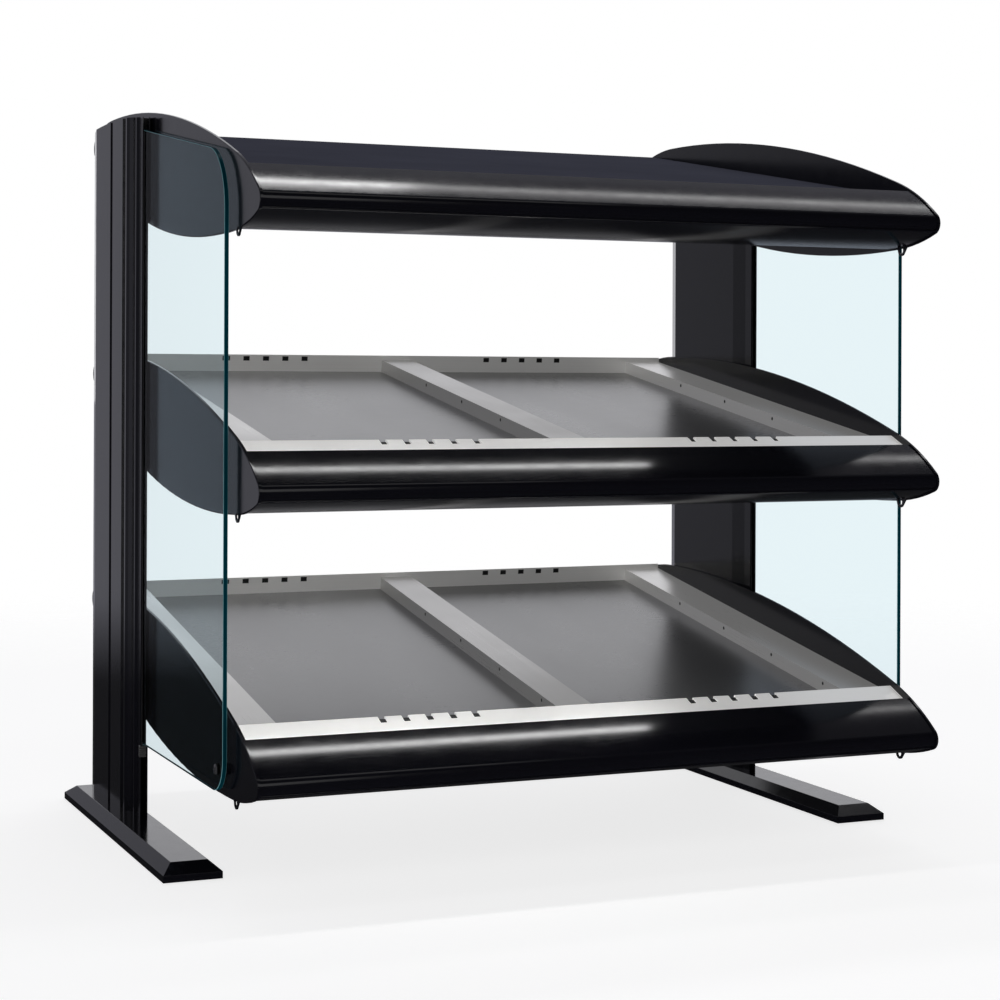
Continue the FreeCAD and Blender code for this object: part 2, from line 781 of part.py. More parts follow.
def make_end_cap(module, side, sign):
    """A lens-shaped end plate with an eyelet under its front."""
    body = new_body("%s_end_cap_%s" % (module, side))
    face = new_sketch(body, "Face", "YZ_Plane")
    draw_lens(face)
    add_pad(body, face, dims.cap_gauge, backwards=sign > 0)
    soften(body, dims.cap_round, lambda edge: lies_at(edge, "X", 0))
    lug = new_sketch(body, "Lug", "YZ_Plane")
    draw_circle(lug, -dims.eyelet_place, -dims.eyelet_drop, dims.eyelet_radius)
    add_pad(body, lug, dims.eyelet_gauge, backwards=sign > 0)
    root = new_sketch(body, "LugRoot", "YZ_Plane")
    waist = dims.eyelet_radius * 0.75
    root_low = -dims.eyelet_drop - dims.eyelet_root
    root_high = -dims.eyelet_drop + dims.eyelet_root
    draw_outline(root, [
        (-dims.eyelet_place - waist, root_low),
        (-dims.eyelet_place + waist, root_low),
        (-dims.eyelet_place + dims.eyelet_flare, root_high),
        (-dims.eyelet_place - dims.eyelet_flare, root_high),
    ])
    add_pad(body, root, dims.eyelet_gauge, backwards=sign > 0)
    holes = new_sketch(body, "Holes", "YZ_Plane")
    draw_circle(holes, -dims.eyelet_place, -dims.eyelet_drop, dims.eyelet_hole)
    for place in CAP_SCREWS:
        draw_circle(holes, place, CAP_SCREW_LEVEL, CAP_SCREW_RADIUS + 0.2)
    add_pocket(body, holes, dims.cap_gauge, backwards=sign < 0)
    put_in(module, body, x=sign * cap_outer())


# Where the shadow groove lies around the nose, from the rear over the top, in degrees.
GROOVE_BEARING = 216.0


def make_bullnose(module):
    """The front extrusion: a curved shell with a shadow groove under its nose."""
    body = new_body(module + "_bullnose")
    outside = new_sketch(body, "Outside", "YZ_Plane")
    draw_lens(outside, dims.shell_inset)
    add_pad(body, outside, between_caps(), midplane=True)
    inside = new_sketch(body, "Inside", "YZ_Plane")
    draw_lens(inside, dims.shell_inset + dims.shell_wall)
    add_pocket(body, inside, between_caps(), midplane=True)
    behind = new_sketch(body, "Behind", "YZ_Plane")
    far = 500.0
    draw_outline(behind, [
        (dims.shell_top_end, far),
        (dims.shell_top_end, 0),
        (dims.shell_low_end, 0),
        (dims.shell_low_end, -far),
        (far, -far),
        (far, far),
    ])
    add_pocket(body, behind, between_caps() + 2, midplane=True)
    groove = new_sketch(body, "Groove", "YZ_Plane")
    nose = dims.nose_radius - dims.shell_inset
    turn = math.radians(GROOVE_BEARING)
    across = dims.lens_middle - dims.nose_reach + math.cos(turn) * nose
    draw_circle(groove, across, dims.nose_level + math.sin(turn) * nose, dims.shell_groove)
    add_pocket(body, groove, between_caps() + 2, midplane=True)
    put_in(module, body)


def make_rear_fascia(module):
    """The rear channel that closes a module and carries its controls."""
    body = new_body(module + "_rear_fascia")
    face = dims.fascia_face
    half = dims.fascia_half
    gauge = dims.gauge
    section = new_sketch(body, "Section", "YZ_Plane")
    draw_outline(section, [
        (face - 16, half + 3.5),
        (face, half),
        (face, -half),
        (face - 46, -half - 12),
        (face - 46, -half - 12 + gauge),
        (face - gauge, -half + gauge),
        (face - gauge, half - gauge),
        (face - 16, half + 3.5 - gauge),
    ])
    add_pad(body, section, between_caps(), midplane=True)
    openings = new_sketch(body, "Openings", "XZ_Plane")
    draw_box(openings, dims.rocker_place - 13.7, -12.2, dims.rocker_place + 13.7, 12.2)
    if module in SHELVES:
        draw_circle(openings, dims.knob_place, 0, BUSHING_RADIUS + 0.2)
    if module == "lower":
        draw_circle(openings, dims.gland_place, 0, GLAND_NECK_RADIUS + 0.1)
    add_pocket(body, openings, face + 10)
    put_in(module, body)


def make_pan(module, name):
    """A folded pan that closes a module's underside."""
    body = new_body("%s_%s" % (module, name))
    front = dims.pan_front
    rear = dims.tray_rear - 3
    floor = dims.pan_level
    rim = dims.plate_level - dims.gauge - 2
    gauge = dims.gauge
    section = new_sketch(body, "Section", "YZ_Plane")
    draw_outline(section, [
        (front, rim),
        (front, floor - gauge),
        (rear, floor - gauge),
        (rear, rim),
        (rear - gauge, rim),
        (rear - gauge, floor),
        (front + gauge, floor),
        (front + gauge, rim),
    ])
    add_pad(body, section, between_caps(), midplane=True)
    put_in(module, body)


def make_end_cap_screws():
    """Screws that hold the end caps to the posts, with their heads inside the modules."""
    head_radius = 5.5
    head_height = 3.2
    screws = []
    for module in MODULES:
        for sign in SIDES.values():
            for place in CAP_SCREWS:
                seat = sign * (cap_outer() - dims.cap_gauge)
                inner = (seat - sign * head_height, place, CAP_SCREW_LEVEL)
                head = new_cylinder("CapHead", head_radius, head_height, inner, (sign, 0, 0))
                length = head_height + dims.cap_gauge + CAP_SCREW_REACH
                shank = new_cylinder("CapShank", CAP_SCREW_RADIUS, length, inner, (sign, 0, 0))
                screw = fuse("CapScrew", [head, shank])
                put_in(module, screw)
                screws.append(screw)
    group("end_cap_screws", screws)


# ---------------------------------------------------------------------------
# Canopy
# ---------------------------------------------------------------------------

def make_canopy_cover():
    """The flat top of the canopy, folded down along its front and rear."""
    body = new_body("canopy_top_cover")
    top = dims.cover_level
    gauge = dims.gauge
    front = dims.shell_top_end + 0.5
    rear = dims.fascia_face - 17
    section = new_sketch(body, "Section", "YZ_Plane")
    draw_outline(section, [
        (front, top - 14),
        (front, top),
        (rear, top),
        (rear, top - 10),
        (rear - gauge, top - 10),
        (rear - gauge, top - gauge),
        (front + gauge, top - gauge),
        (front + gauge, top - 14),
    ])
    add_pad(body, section, between_caps(), midplane=True)
    put_in("canopy", body)


def make_heaters(module):
    """Straight tubular heaters under a module, one towards the front and one towards the back."""
    bars = []
    for place in (-dims.heater_place, dims.heater_place):
        start = (-dims.heater_length / 2, place, dims.heater_level)
        bar = new_cylinder("Tube", dims.heater_radius, dims.heater_length, start, (1, 0, 0))
        put_in(module, bar)
        bars.append(bar)
    group(module + "_heaters", bars)


HEATER_BRACKETS = (-330.0, 0.0, 330.0)
GUARD_WIRES = 13


def guard_half():
    """Middle of the case to the last cross wire of a guard."""
    return dims.heater_length / 2 - 10


def make_heater_brackets():
    """What hangs under the canopy and the middle shelf: heater brackets, and rods for the guards."""
    half_width = 9.0
    wall = 1.5
    drop = dims.heater_level - dims.heater_radius - 3
    top = dims.pan_level - dims.gauge
    hangers = []
    for module in ("canopy", "middle"):
        for x in HEATER_BRACKETS:
            for place in (-dims.heater_place, dims.heater_place):
                low = (x - wall / 2, place - half_width, drop)
                high = (x + wall / 2, place + half_width, top)
                blade = new_box("Blade", low, high)
                start = (x - wall, place, dims.heater_level)
                hole = new_cylinder("Hole", dims.heater_radius, wall * 2, start, (1, 0, 0))
                bracket = cut("Bracket", blade, hole)
                put_in(module, bracket)
                hangers.append(bracket)
        rod_low = dims.guard_level + dims.wire_radius
        for x in (-guard_half(), guard_half()):
            for place in (-dims.guard_reach, dims.guard_reach):
                start = (x, place, rod_low)
                rod = new_cylinder("Rod", dims.wire_radius, top - rod_low, start, (0, 0, 1))
                put_in(module, rod)
                hangers.append(rod)
    group("heater_brackets", hangers)


def make_heater_guard(module):
    """A flat welded wire guard under the heaters: two side wires with cross wires between them."""
    reach = dims.guard_reach
    length = dims.heater_length
    level = dims.guard_level
    overhang = 3.0
    wires = []
    for place in (-reach, reach):
        start = (-length / 2, place, level)
        wires.append(new_cylinder("Side", dims.wire_radius, length, start, (1, 0, 0)))
    for index in range(GUARD_WIRES):
        x = guard_half() * (2 * index / (GUARD_WIRES - 1) - 1)
        start = (x, -reach - overhang, level)
        wires.append(new_cylinder("Cross", dims.wire_radius, 2 * (reach + overhang), start, (0, 1, 0)))
    guard = fuse(module + "_heater_guard", wires)
    guard.Label = module + "_heater_guard"
    nodes[guard.Label] = guard
    put_in(module, guard)


# ---------------------------------------------------------------------------
# Shelf tops
# ---------------------------------------------------------------------------

SLOTS_IN_ROW = 5


def cut_front_slots(body):
    """Two rows of open slots across the front rail's rear edge."""
    edge = dims.tray_front
    half = dims.slot_width / 2
    floor = dims.front_rail_level - dims.slot_depth
    for sign in SIDES.values():
        start = sign * dims.slot_centre - 2 * dims.slot_pitch
        sketch = new_sketch(body, "Slot", "XY_Plane", floor)
        draw_box(sketch, start - half, edge - dims.slot_length, start + half, edge + 1)
        slot = add_pocket(body, sketch, dims.slot_depth + 5, backwards=True)
        repeat(body, slot, sketch, "H_Axis", dims.slot_pitch, SLOTS_IN_ROW)


def cut_rear_windows(body):
    """Two rows of closed slots through the rear rail's upright face."""
    half = dims.window_width / 2
    high = dims.rear_rail_level - dims.window_drop
    low = high - dims.window_height
    for sign in SIDES.values():
        start = sign * dims.slot_centre - 2 * dims.slot_pitch
        sketch = new_sketch(body, "Window", "XZ_Plane")
        draw_box(sketch, start - half, low, start + half, high)
        window = add_pocket(body, sketch, dims.tray_rear + dims.gauge + 0.4)
        repeat(body, window, sketch, "H_Axis", dims.slot_pitch, SLOTS_IN_ROW)


def make_front_rail(module):
    """The stainless front rail: a sloping top with divider slots between two folded legs."""
    body = new_body(module + "_front_rail")
    rear = dims.tray_front
    front = rear - dims.rail_slope_run
    top = dims.front_rail_level
    edge = top - dims.rail_slope_drop
    low = dims.plate_level + 0.1
    leg = 9.0
    gauge = dims.gauge
    section = new_sketch(body, "Section", "YZ_Plane")
    draw_outline(section, [
        (rear, low),
        (rear, top),
        (front, edge),
        (front, edge - leg),
        (front + gauge, edge - leg),
        (front + gauge, edge - gauge * 0.7),
        (rear - gauge, top - gauge * 1.4),
        (rear - gauge, low),
    ])
    add_pad(body, section, between_caps(), midplane=True)
    cut_front_slots(body)
    put_in(module, body)


def make_rear_rail(module):
    """The stainless rear rail: an upright face and a top that slopes to the back."""
    body = new_body(module + "_rear_rail")
    front = dims.tray_rear
    rear = front + dims.rear_rail_run
    top = dims.rear_rail_level
    edge = top - dims.rear_rail_drop
    low = dims.plate_level + 0.1
    leg = 8.0
    gauge = dims.gauge
    section = new_sketch(body, "Section", "YZ_Plane")
    draw_outline(section, [
        (front, low),
        (front, top),
        (rear, edge),
        (rear, edge - leg),
        (rear - gauge, edge - leg),
        (rear - gauge, edge - gauge),
        (front + gauge, top - gauge * 1.4),
        (front + gauge, low),
    ])
    add_pad(body, section, between_caps(), midplane=True)
    cut_rear_windows(body)
    put_in(module, body)


def tray_middle():
    """Middle of the tray from front to back."""
    return (dims.tray_front + dims.tray_rear) / 2


def tray_depth():
    """Front to back of a piece that fits between the front and rear rails."""
    return dims.tray_rear - dims.tray_front - 0.6


def drill_row(body):
    """A row of small holes through the upright faces of a rail."""
    sketch = new_sketch(body, "Hole", "YZ_Plane")
    first = dims.rail_hole_first - tray_middle()
    draw_circle(sketch, first, dims.rail_hole_level, dims.rail_hole)
    hole = add_pocket(body, sketch, dims.divider_width + 4, midplane=True)
    repeat(body, hole, sketch, "H_Axis", dims.rail_hole_pitch, 4)


def make_side_rail(module, side, sign):
    """A stainless side rail: an upright inner face, a flat top and a folded outer edge."""
    body = new_body("%s_side_rail_%s" % (module, side))
    width = between_caps() / 2 - dims.side_rail_inner
    top = dims.rail_level
    low = dims.plate_level + 0.1
    gauge = dims.gauge
    section = new_sketch(body, "Section", "XZ_Plane")
    draw_outline(section, [(sign * across, up) for across, up in (
        (0, low),
        (0, top),
        (width, top),
        (width, top - 12),
        (width - gauge, top - 12),
        (width - gauge, top - gauge),
        (gauge, top - gauge),
        (gauge, low),
    )])
    add_pad(body, section, tray_depth(), midplane=True)
    drill_row(body)
    put_in(module, body, x=sign * dims.side_rail_inner, s=tray_middle())


def make_divider(module):
    """The stainless centre divider: an upturned channel that covers the gap between the plates."""
    body = new_body(module + "_divider")
    half = dims.divider_width / 2
    top = dims.rail_level
    low = dims.plate_level + 0.1
    gauge = dims.gauge
    section = new_sketch(body, "Section", "XZ_Plane")
    draw_outline(section, [
        (-half, low),
        (-half, top),
        (half, top),
        (half, low),
        (half - gauge, low),
        (half - gauge, top - gauge),
        (gauge - half, top - gauge),
        (gauge - half, low),
    ])
    add_pad(body, section, tray_depth(), midplane=True)
    drill_row(body)
    put_in(module, body, s=tray_middle())


PLATE_TUCK = 8.0


def make_plate(module, side, sign):
    """A heated plate, its long edges tucked under the divider and a side rail."""
    body = new_body("%s_plate_%s" % (module, side))
    near = dims.divider_width / 2 - PLATE_TUCK
    far = dims.side_rail_inner + PLATE_TUCK
    section = new_sketch(body, "Sheet", "XY_Plane", dims.plate_level)
    edges = sorted([sign * near, sign * far], key=lambda place: place.value)
    draw_box(section, edges[0], dims.tray_front + 0.3, edges[1], dims.tray_rear - 0.3)
    add_pad(body, section, dims.gauge, backwards=True)
    put_in(module, body)


def make_base_heaters():
    """Flat heating mats under the plates."""
    mats = []
    top = dims.plate_level - dims.gauge
    for module in SHELVES:
        for sign in SIDES.values():
            edges = sorted([sign * 40.0, sign * 340.0])
            low = (edges[0], dims.tray_front + 24, top - dims.mat_gauge)
            high = (edges[1], dims.tray_rear - 24, top)
            mat = new_box("Mat", low, high)
            put_in(module, mat)
            mats.append(mat)
    group("base_heaters", mats)


def make_insulation():
    """Slabs between the heating mats and the bottom pans."""
    half = 350.0
    slabs = []
    for module in SHELVES:
        low = (-half, dims.tray_front + 5, dims.pan_level)
        high = (half, dims.tray_rear - 6, dims.plate_level - dims.gauge - dims.mat_gauge)
        slab = new_box("Slab", low, high)
        put_in(module, slab)
        slabs.append(slab)
    group("insulation_slabs", slabs)


# ---------------------------------------------------------------------------
# Controls on the rear fascias
# ---------------------------------------------------------------------------

BUSHING_RADIUS = 5.0
GLAND_NECK_RADIUS = 9.0
ROCKER_REST = -8.0


def make_switch_bodies():
    """Switch housings: a bezel on the fascia, a box behind it and a round cavity for the rocker."""
    face = dims.fascia_face
    pivot = dims.rocker_pivot
    housings = []
    for module in MODULES:
        x = dims.rocker_place
        bezel = new_box("Bezel", (x - 16, face, -13.5), (x + 16, face + 2, 13.5))
        block = new_box("Block", (x - 13.5, pivot - 16, -12), (x + 13.5, face, 12))
        width = dims.rocker_width + 2 * dims.rocker_gap
        start = (x - width / 2, pivot, 0)
        cavity = new_cylinder("Cavity", dims.rocker_radius + dims.rocker_gap, width, start, (1, 0, 0))
        pins = width + 2.4
        start = (x - pins / 2, pivot, 0)
        bore = new_cylinder("PinBore", dims.pin_radius + dims.running_gap, pins, start, (1, 0, 0))
        hollow = fuse("Hollow", [cavity, bore])
        housing = cut("Housing", fuse("Solid", [bezel, block]), hollow)
        put_in(module, housing)
        housings.append(housing)
    group("switch_bodies", housings)


def make_rocker(module):
    """A rocker on two pivot pins, at rest with its upper half pressed in."""
    body = new_body(module + "_rocker")
    radius = dims.rocker_radius.value
    front = 3.2
    rise = 1.6
    section = new_sketch(body, "Section", "YZ_Plane")
    edge = 5.2
    height = math.sqrt(radius ** 2 - edge ** 2)
    start = math.atan2(height, edge)
    circle = Part.Circle(FreeCAD.Vector(0, 0, 0), FreeCAD.Vector(0, 0, 1), radius)
    section.addGeometry(Part.ArcOfCircle(circle, start, 2 * math.pi - start), False)
    corners = [
        FreeCAD.Vector(edge, -height, 0),
        FreeCAD.Vector(front, 0, 0),
        FreeCAD.Vector(edge, height, 0),
    ]
    section.addGeometry(Part.LineSegment(corners[0], corners[1]), False)
    section.addGeometry(Part.LineSegment(corners[1], corners[2]), False)
    section.addConstraint(Sketcher.Constraint("Coincident", 0, 2, 1, 1))
    section.addConstraint(Sketcher.Constraint("Coincident", 1, 2, 2, 1))
    section.addConstraint(Sketcher.Constraint("Coincident", 2, 2, 0, 1))
    fix_point(section, 0, 3, 0, 0)
    fix_radius(section, 0, dims.rocker_radius)
    add_pad(body, section, dims.rocker_width, midplane=True)
    pins = new_sketch(body, "Pins", "YZ_Plane")
    draw_circle(pins, 0, 0, dims.pin_radius)
    add_pad(body, pins, dims.rocker_width + 2 * dims.rocker_gap + 2, midplane=True)
    body.Placement = FreeCAD.Placement(
        FreeCAD.Vector(),
        FreeCAD.Rotation(FreeCAD.Vector(1, 0, 0), ROCKER_REST),
    )
    put_in(module, body, x=dims.rocker_place, s=dims.rocker_pivot)


def make_thermostats():
    """Thermostat bodies behind the fascias, each with a bushing that guides its shaft."""
    face = dims.fascia_face
    bodies = []
    for module in SHELVES:
        x = dims.knob_place
        back = face - dims.gauge
        block = new_box("Case", (x - 15, back - 24, -15), (x + 15, back, 15))
        bushing = new_cylinder("Bushing", BUSHING_RADIUS, 25, (x, face - 22, 0), (0, 1, 0))
        start = (x, back - 20, 0)
        bore = new_cylinder("Bore", dims.shaft_radius + dims.running_gap, 40, start, (0, 1, 0))
        body = cut("Thermostat", fuse("CaseAndBushing", [block, bushing]), bore)
        put_in(module, body)
        bodies.append(body)
    group("thermostats", bodies)


def make_shaft(module):
    """A thermostat's shaft, from inside its case to inside the knob."""
    body = new_body(module + "_thermostat_shaft")
    ring = new_sketch(body, "Section", "XZ_Plane")
    draw_circle(ring, 0, 0, dims.shaft_radius)
    start = dims.fascia_face - dims.gauge - 18
    finish = dims.knob_base + dims.knob_height - 3
    add_pad(body, ring, finish - start, backwards=True)
    put_in(module, body, x=dims.knob_place, s=start)


def make_knob(module):
    """A skirted knob with a raised pointer and a blind bore for the shaft."""
    body = new_body(module + "_knob")
    outline = new_sketch(body, "Profile", "XY_Plane")
    skirt = dims.knob_radius
    height = dims.knob_height
    draw_outline(outline, [
        (0, 0),
        (skirt, 0),
        (skirt, 3),
        (skirt - 3.5, 4.5),
        (skirt - 4.5, height),
        (0, height),
    ])
    turned = body.newObject("PartDesign::Revolution", "Turned")
    turned.Profile = outline
    turned.ReferenceAxis = (outline, ["V_Axis"])
    turned.Angle = 360
    body.Tip = turned
    doc.recompute()
    bore = new_sketch(body, "Bore", "XZ_Plane")
    draw_circle(bore, 0, 0, dims.shaft_radius)
    add_pocket(body, bore, height - 3, backwards=False)
    line = new_sketch(body, "PointerLine", "XZ_Plane", -height)
    draw_box(line, -0.8, 5, 0.8, 12)
    add_pocket(body, line, 0.6, backwards=True)
    put_in(module, body, x=dims.knob_place, s=dims.knob_base)


def make_cord_gland():
    """The moulded gland that the supply cord enters by."""
    face = dims.fascia_face
    x = dims.gland_place
    neck = new_cylinder("Neck", GLAND_NECK_RADIUS, 14, (x, face - 12, 0), (0, 1, 0))
    collar = new_cylinder("Collar", 13.0, 5, (x, face, 0), (0, 1, 0))
    dome = doc.addObject("Part::Cone", "Dome")
    dome.Radius1 = 11.0
    dome.Radius2 = 7.5
    dome.Height = 10.0
    turn = FreeCAD.Rotation(FreeCAD.Vector(0, 0, 1), FreeCAD.Vector(0, 1, 0))
    dome.Placement = FreeCAD.Placement(FreeCAD.Vector(x.value, face.value + 5, 0), turn)
    bore = new_cylinder("CordBore", 4.5, 40, (x, face - 15, 0), (0, 1, 0))
    gland = cut("cord_gland", fuse("GlandSolid", [neck, collar, dome]), bore)
    gland.Label = "cord_gland"
    nodes["cord_gland"] = gland
    put_in("lower", gland)


# ---------------------------------------------------------------------------
# The whole case
# ---------------------------------------------------------------------------

def make_case():
    """Makes every node."""
    for side, sign in SIDES.items():
        make_foot(side, sign)
        make_post(side, sign)
        make_side_glass(side, sign)
    make_foot_pads()
    make_base_screws()
    make_glazing_seals()
    make_glass_clips()
    make_glass_spacers()

    for module in MODULES:
        for side, sign in SIDES.items():
            make_end_cap(module, side, sign)
        make_bullnose(module)
        make_rear_fascia(module)
        make_rocker(module)
    make_end_cap_screws()
    make_switch_bodies()

    make_canopy_cover()
    make_pan("canopy", "reflector")
    make_pan("middle", "bottom_pan")
    make_pan("lower", "bottom_pan")
    for module in ("canopy", "middle"):
        make_heaters(module)
        make_heater_guard(module)
    make_heater_brackets()

    for module in SHELVES:
        make_front_rail(module)
        make_rear_rail(module)
        make_divider(module)
        for side, sign in SIDES.items():
            make_side_rail(module, side, sign)
            make_plate(module, side, sign)
        make_shaft(module)
        make_knob(module)
    make_base_heaters()
    make_insulation()
    make_thermostats()
    make_cord_gland()


def check_and_write():
    """Stops on a failed object or an unsound shape, then writes one file for each node."""
    doc.recompute()
    for item in doc.Objects:
        if "Invalid" in item.State or "Error" in item.State:
            raise RuntimeError("%s is in state %s" % (item.Label, item.State))
    for label, item in nodes.items():
        if item.Shape.isNull() or not item.Shape.isValid():
            raise RuntimeError("%s has no sound shape" % label)
    os.makedirs("parts", exist_ok=True)
    for label, item in nodes.items():
        item.Shape.exportStep("parts/%s.step" % label)
        print("%-28s %2d solid(s) %12.0f mm3" % (label, len(item.Shape.Solids), item.Shape.Volume))
    print("%d nodes" % len(nodes))


make_case()
check_and_write()
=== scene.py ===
"""Looks for the two-shelf hot food display case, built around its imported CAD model.

Everything is in metres in the CAD model's frame: X along the shelves, Y from the customer's side
to the back, Z up, with the origin on the floor under the middle of the case.
"""

import json
import math

import bmesh
import bpy
from mathutils import Matrix, Vector


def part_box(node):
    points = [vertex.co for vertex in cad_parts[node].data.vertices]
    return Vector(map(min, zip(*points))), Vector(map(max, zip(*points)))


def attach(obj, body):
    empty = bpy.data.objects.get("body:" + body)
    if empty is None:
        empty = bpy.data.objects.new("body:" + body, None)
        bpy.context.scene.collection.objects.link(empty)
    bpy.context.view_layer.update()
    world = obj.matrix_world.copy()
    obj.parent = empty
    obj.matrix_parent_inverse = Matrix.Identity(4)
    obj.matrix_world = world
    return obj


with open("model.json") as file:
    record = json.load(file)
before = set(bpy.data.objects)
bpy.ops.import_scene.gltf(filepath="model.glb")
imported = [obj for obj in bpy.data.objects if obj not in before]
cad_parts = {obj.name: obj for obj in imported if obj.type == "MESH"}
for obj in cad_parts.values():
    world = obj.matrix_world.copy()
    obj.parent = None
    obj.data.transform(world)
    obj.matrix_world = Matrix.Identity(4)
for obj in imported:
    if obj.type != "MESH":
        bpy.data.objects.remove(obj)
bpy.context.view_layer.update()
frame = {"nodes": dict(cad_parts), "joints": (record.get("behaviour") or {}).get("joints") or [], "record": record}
scene = bpy.context.scene

MODULES = ("canopy", "middle", "lower")
SHELVES = ("middle", "lower")
SIDES = ("left", "right")
MM = 0.001

# The slope of the modules, from the axis of a knob that stands square to it.
knob_axis = [joint for joint in frame["joints"] if joint["name"] == "lower_knob_turn"][0]["axis"]
TILT = math.atan2(knob_axis[2], knob_axis[1])


def joint_place(name):
    """Where a joint's axis passes, in the CAD model's frame."""
    joints = frame["record"]["behaviour"]["joints"]
    return Vector([joint for joint in joints if joint["name"] == name][0]["pos_m"])


def module_matrix(module):
    """From a module's own frame, in which its deck is level, to the CAD model's frame."""
    pivot = joint_place(module + "_rocker_press")
    height = pivot.z - pivot.y * math.tan(TILT)
    return Matrix.Translation((0.0, 0.0, height)) @ Matrix.Rotation(TILT, 4, "X")


# ---------------------------------------------------------------------------
# Camera, floor and light
# ---------------------------------------------------------------------------

CAMERA_PLACE = (-1.0566, -2.5248, 0.5559)
CAMERA_HEADING = -23.025  # degrees from straight towards the back
CAMERA_ROLL = 0.2267  # degrees
CAMERA_LENS = 78.38  # millimetres, on a sensor 36 mm wide
CAMERA_SHIFT = -0.1227  # of the frame's width, downwards


def make_camera():
    """A long lens, level, to the left of the case and a little above its middle."""
    data = bpy.data.cameras.new("camera")
    data.lens = CAMERA_LENS
    data.sensor_width = 36.0
    data.shift_y = CAMERA_SHIFT
    camera = bpy.data.objects.new("camera", data)
    scene.collection.objects.link(camera)
    place = Matrix.Translation(CAMERA_PLACE)
    heading = Matrix.Rotation(math.radians(CAMERA_HEADING), 4, "Z")
    level = Matrix.Rotation(math.radians(90.0), 4, "X")
    roll = Matrix.Rotation(math.radians(CAMERA_ROLL), 4, "Z")
    camera.matrix_world = place @ heading @ level @ roll
    scene.camera = camera


FLOOR_RADIUS = 3.2
FLOOR_FADE = (1.6, 3.0)  # where the floor starts to fade, and where it is gone
FLOOR_GLOW = (0.78, 0.01)  # emission of the floor as seen by the camera, and as mirrored in the case


def make_floor():
    """A round pale floor whose rim fades into the background, and which is dark in reflections."""
    mesh = bpy.data.meshes.new("floor")
    body = bmesh.new()
    bmesh.ops.create_circle(body, cap_ends=True, segments=96, radius=FLOOR_RADIUS)
    body.to_mesh(mesh)
    body.free()
    floor = bpy.data.objects.new("floor", mesh)
    scene.collection.objects.link(floor)
    tree = Surface("floor")
    speckle = tree.noise(tree.place(), 90.0, 3.0)
    ray = tree.add("ShaderNodeLightPath")
    mirrored = tree.ramp(ray.outputs["Glossy Depth"], 0.0, 1.0, 0.0, 1.0)
    colour = tree.add("ShaderNodeMix", data_type="RGBA")
    tree.link(mirrored, colour.inputs[0])
    tree.link(tree.blend(speckle, (0.46, 0.46, 0.46), (0.5, 0.5, 0.5)), colour.inputs[6])
    colour.inputs[7].default_value = (0.015, 0.015, 0.015, 1.0)
    tree.link(colour.outputs[2], tree.shader.inputs["Base Color"])
    tree.set("Roughness", 0.9)
    tree.set("Specular IOR Level", 0.1)
    tree.set("Emission Color", (1.0, 1.0, 1.0, 1.0))
    tree.link(tree.ramp(mirrored, 0.0, 1.0, *FLOOR_GLOW), tree.shader.inputs["Emission Strength"])
    reach = tree.add("ShaderNodeVectorMath", operation="LENGTH")
    tree.link(tree.place(), reach.inputs[0])
    fade = tree.ramp(reach.outputs["Value"], *FLOOR_FADE, 1.0, 0.0)
    tree.link(fade, tree.shader.inputs["Alpha"])
    floor.data.materials.append(tree.material)


def make_world():
    """A studio that is white to the eye, straight or through the glass, but dim in reflections."""
    world = bpy.data.worlds.new("studio")
    scene.world = world
    world.use_nodes = True
    nodes = world.node_tree.nodes
    links = world.node_tree.links
    nodes.clear()
    output = nodes.new("ShaderNodeOutputWorld")
    direction = nodes.new("ShaderNodeTexCoord")
    split = nodes.new("ShaderNodeSeparateXYZ")
    links.new(direction.outputs["Generated"], split.inputs[0])
    depth = nodes.new("ShaderNodeMapRange")
    depth.inputs["From Min"].default_value = -0.3
    depth.inputs["From Max"].default_value = 0.8
    depth.inputs["To Min"].default_value = 0.03
    depth.inputs["To Max"].default_value = 0.32
    links.new(split.outputs["Y"], depth.inputs["Value"])
    dim = nodes.new("ShaderNodeBackground")
    dim.inputs["Color"].default_value = (0.88, 0.88, 1.0, 1.0)
    links.new(depth.outputs["Result"], dim.inputs["Strength"])
    bright = nodes.new("ShaderNodeBackground")
    bright.inputs["Color"].default_value = (1.0, 1.0, 1.0, 1.0)
    bright.inputs["Strength"].default_value = 1.0
    ray = nodes.new("ShaderNodeLightPath")

    def combine(operation, first, second):
        """Joins two yes-or-no values, or a value and a number."""
        node = nodes.new("ShaderNodeMath")
        node.operation = operation
        links.new(first, node.inputs[0])
        if isinstance(second, float):
            node.inputs[1].default_value = second
        else:
            links.new(second, node.inputs[1])
        return node.outputs[0]

    unreflected = combine(
        "MULTIPLY",
        combine("LESS_THAN", ray.outputs["Glossy Depth"], 0.5),
        combine("LESS_THAN", ray.outputs["Diffuse Depth"], 0.5),
    )
    through_glass = combine("MULTIPLY", unreflected, ray.outputs["Is Transmission Ray"])
    seen = combine("MAXIMUM", through_glass, ray.outputs["Is Camera Ray"])
    mix = nodes.new("ShaderNodeMixShader")
    links.new(seen, mix.inputs["Fac"])
    links.new(dim.outputs[0], mix.inputs[1])
    links.new(bright.outputs[0], mix.inputs[2])
    links.new(mix.outputs[0], output.inputs["Surface"])


def make_softbox(name, place, aim, width, height, radiance):
    """A rectangular area light of a given brightness that points from one place to another."""
    data = bpy.data.lights.new(name, "AREA")
    data.shape = "RECTANGLE"
    data.size = width
    data.size_y = height
    data.energy = radiance * math.pi * width * height
    light = bpy.data.objects.new(name, data)
    scene.collection.objects.link(light)
    light.location = place
    light.rotation_euler = (Vector(aim) - Vector(place)).to_track_quat("-Z", "Y").to_euler()
    light.visible_camera = False
    light.visible_transmission = False


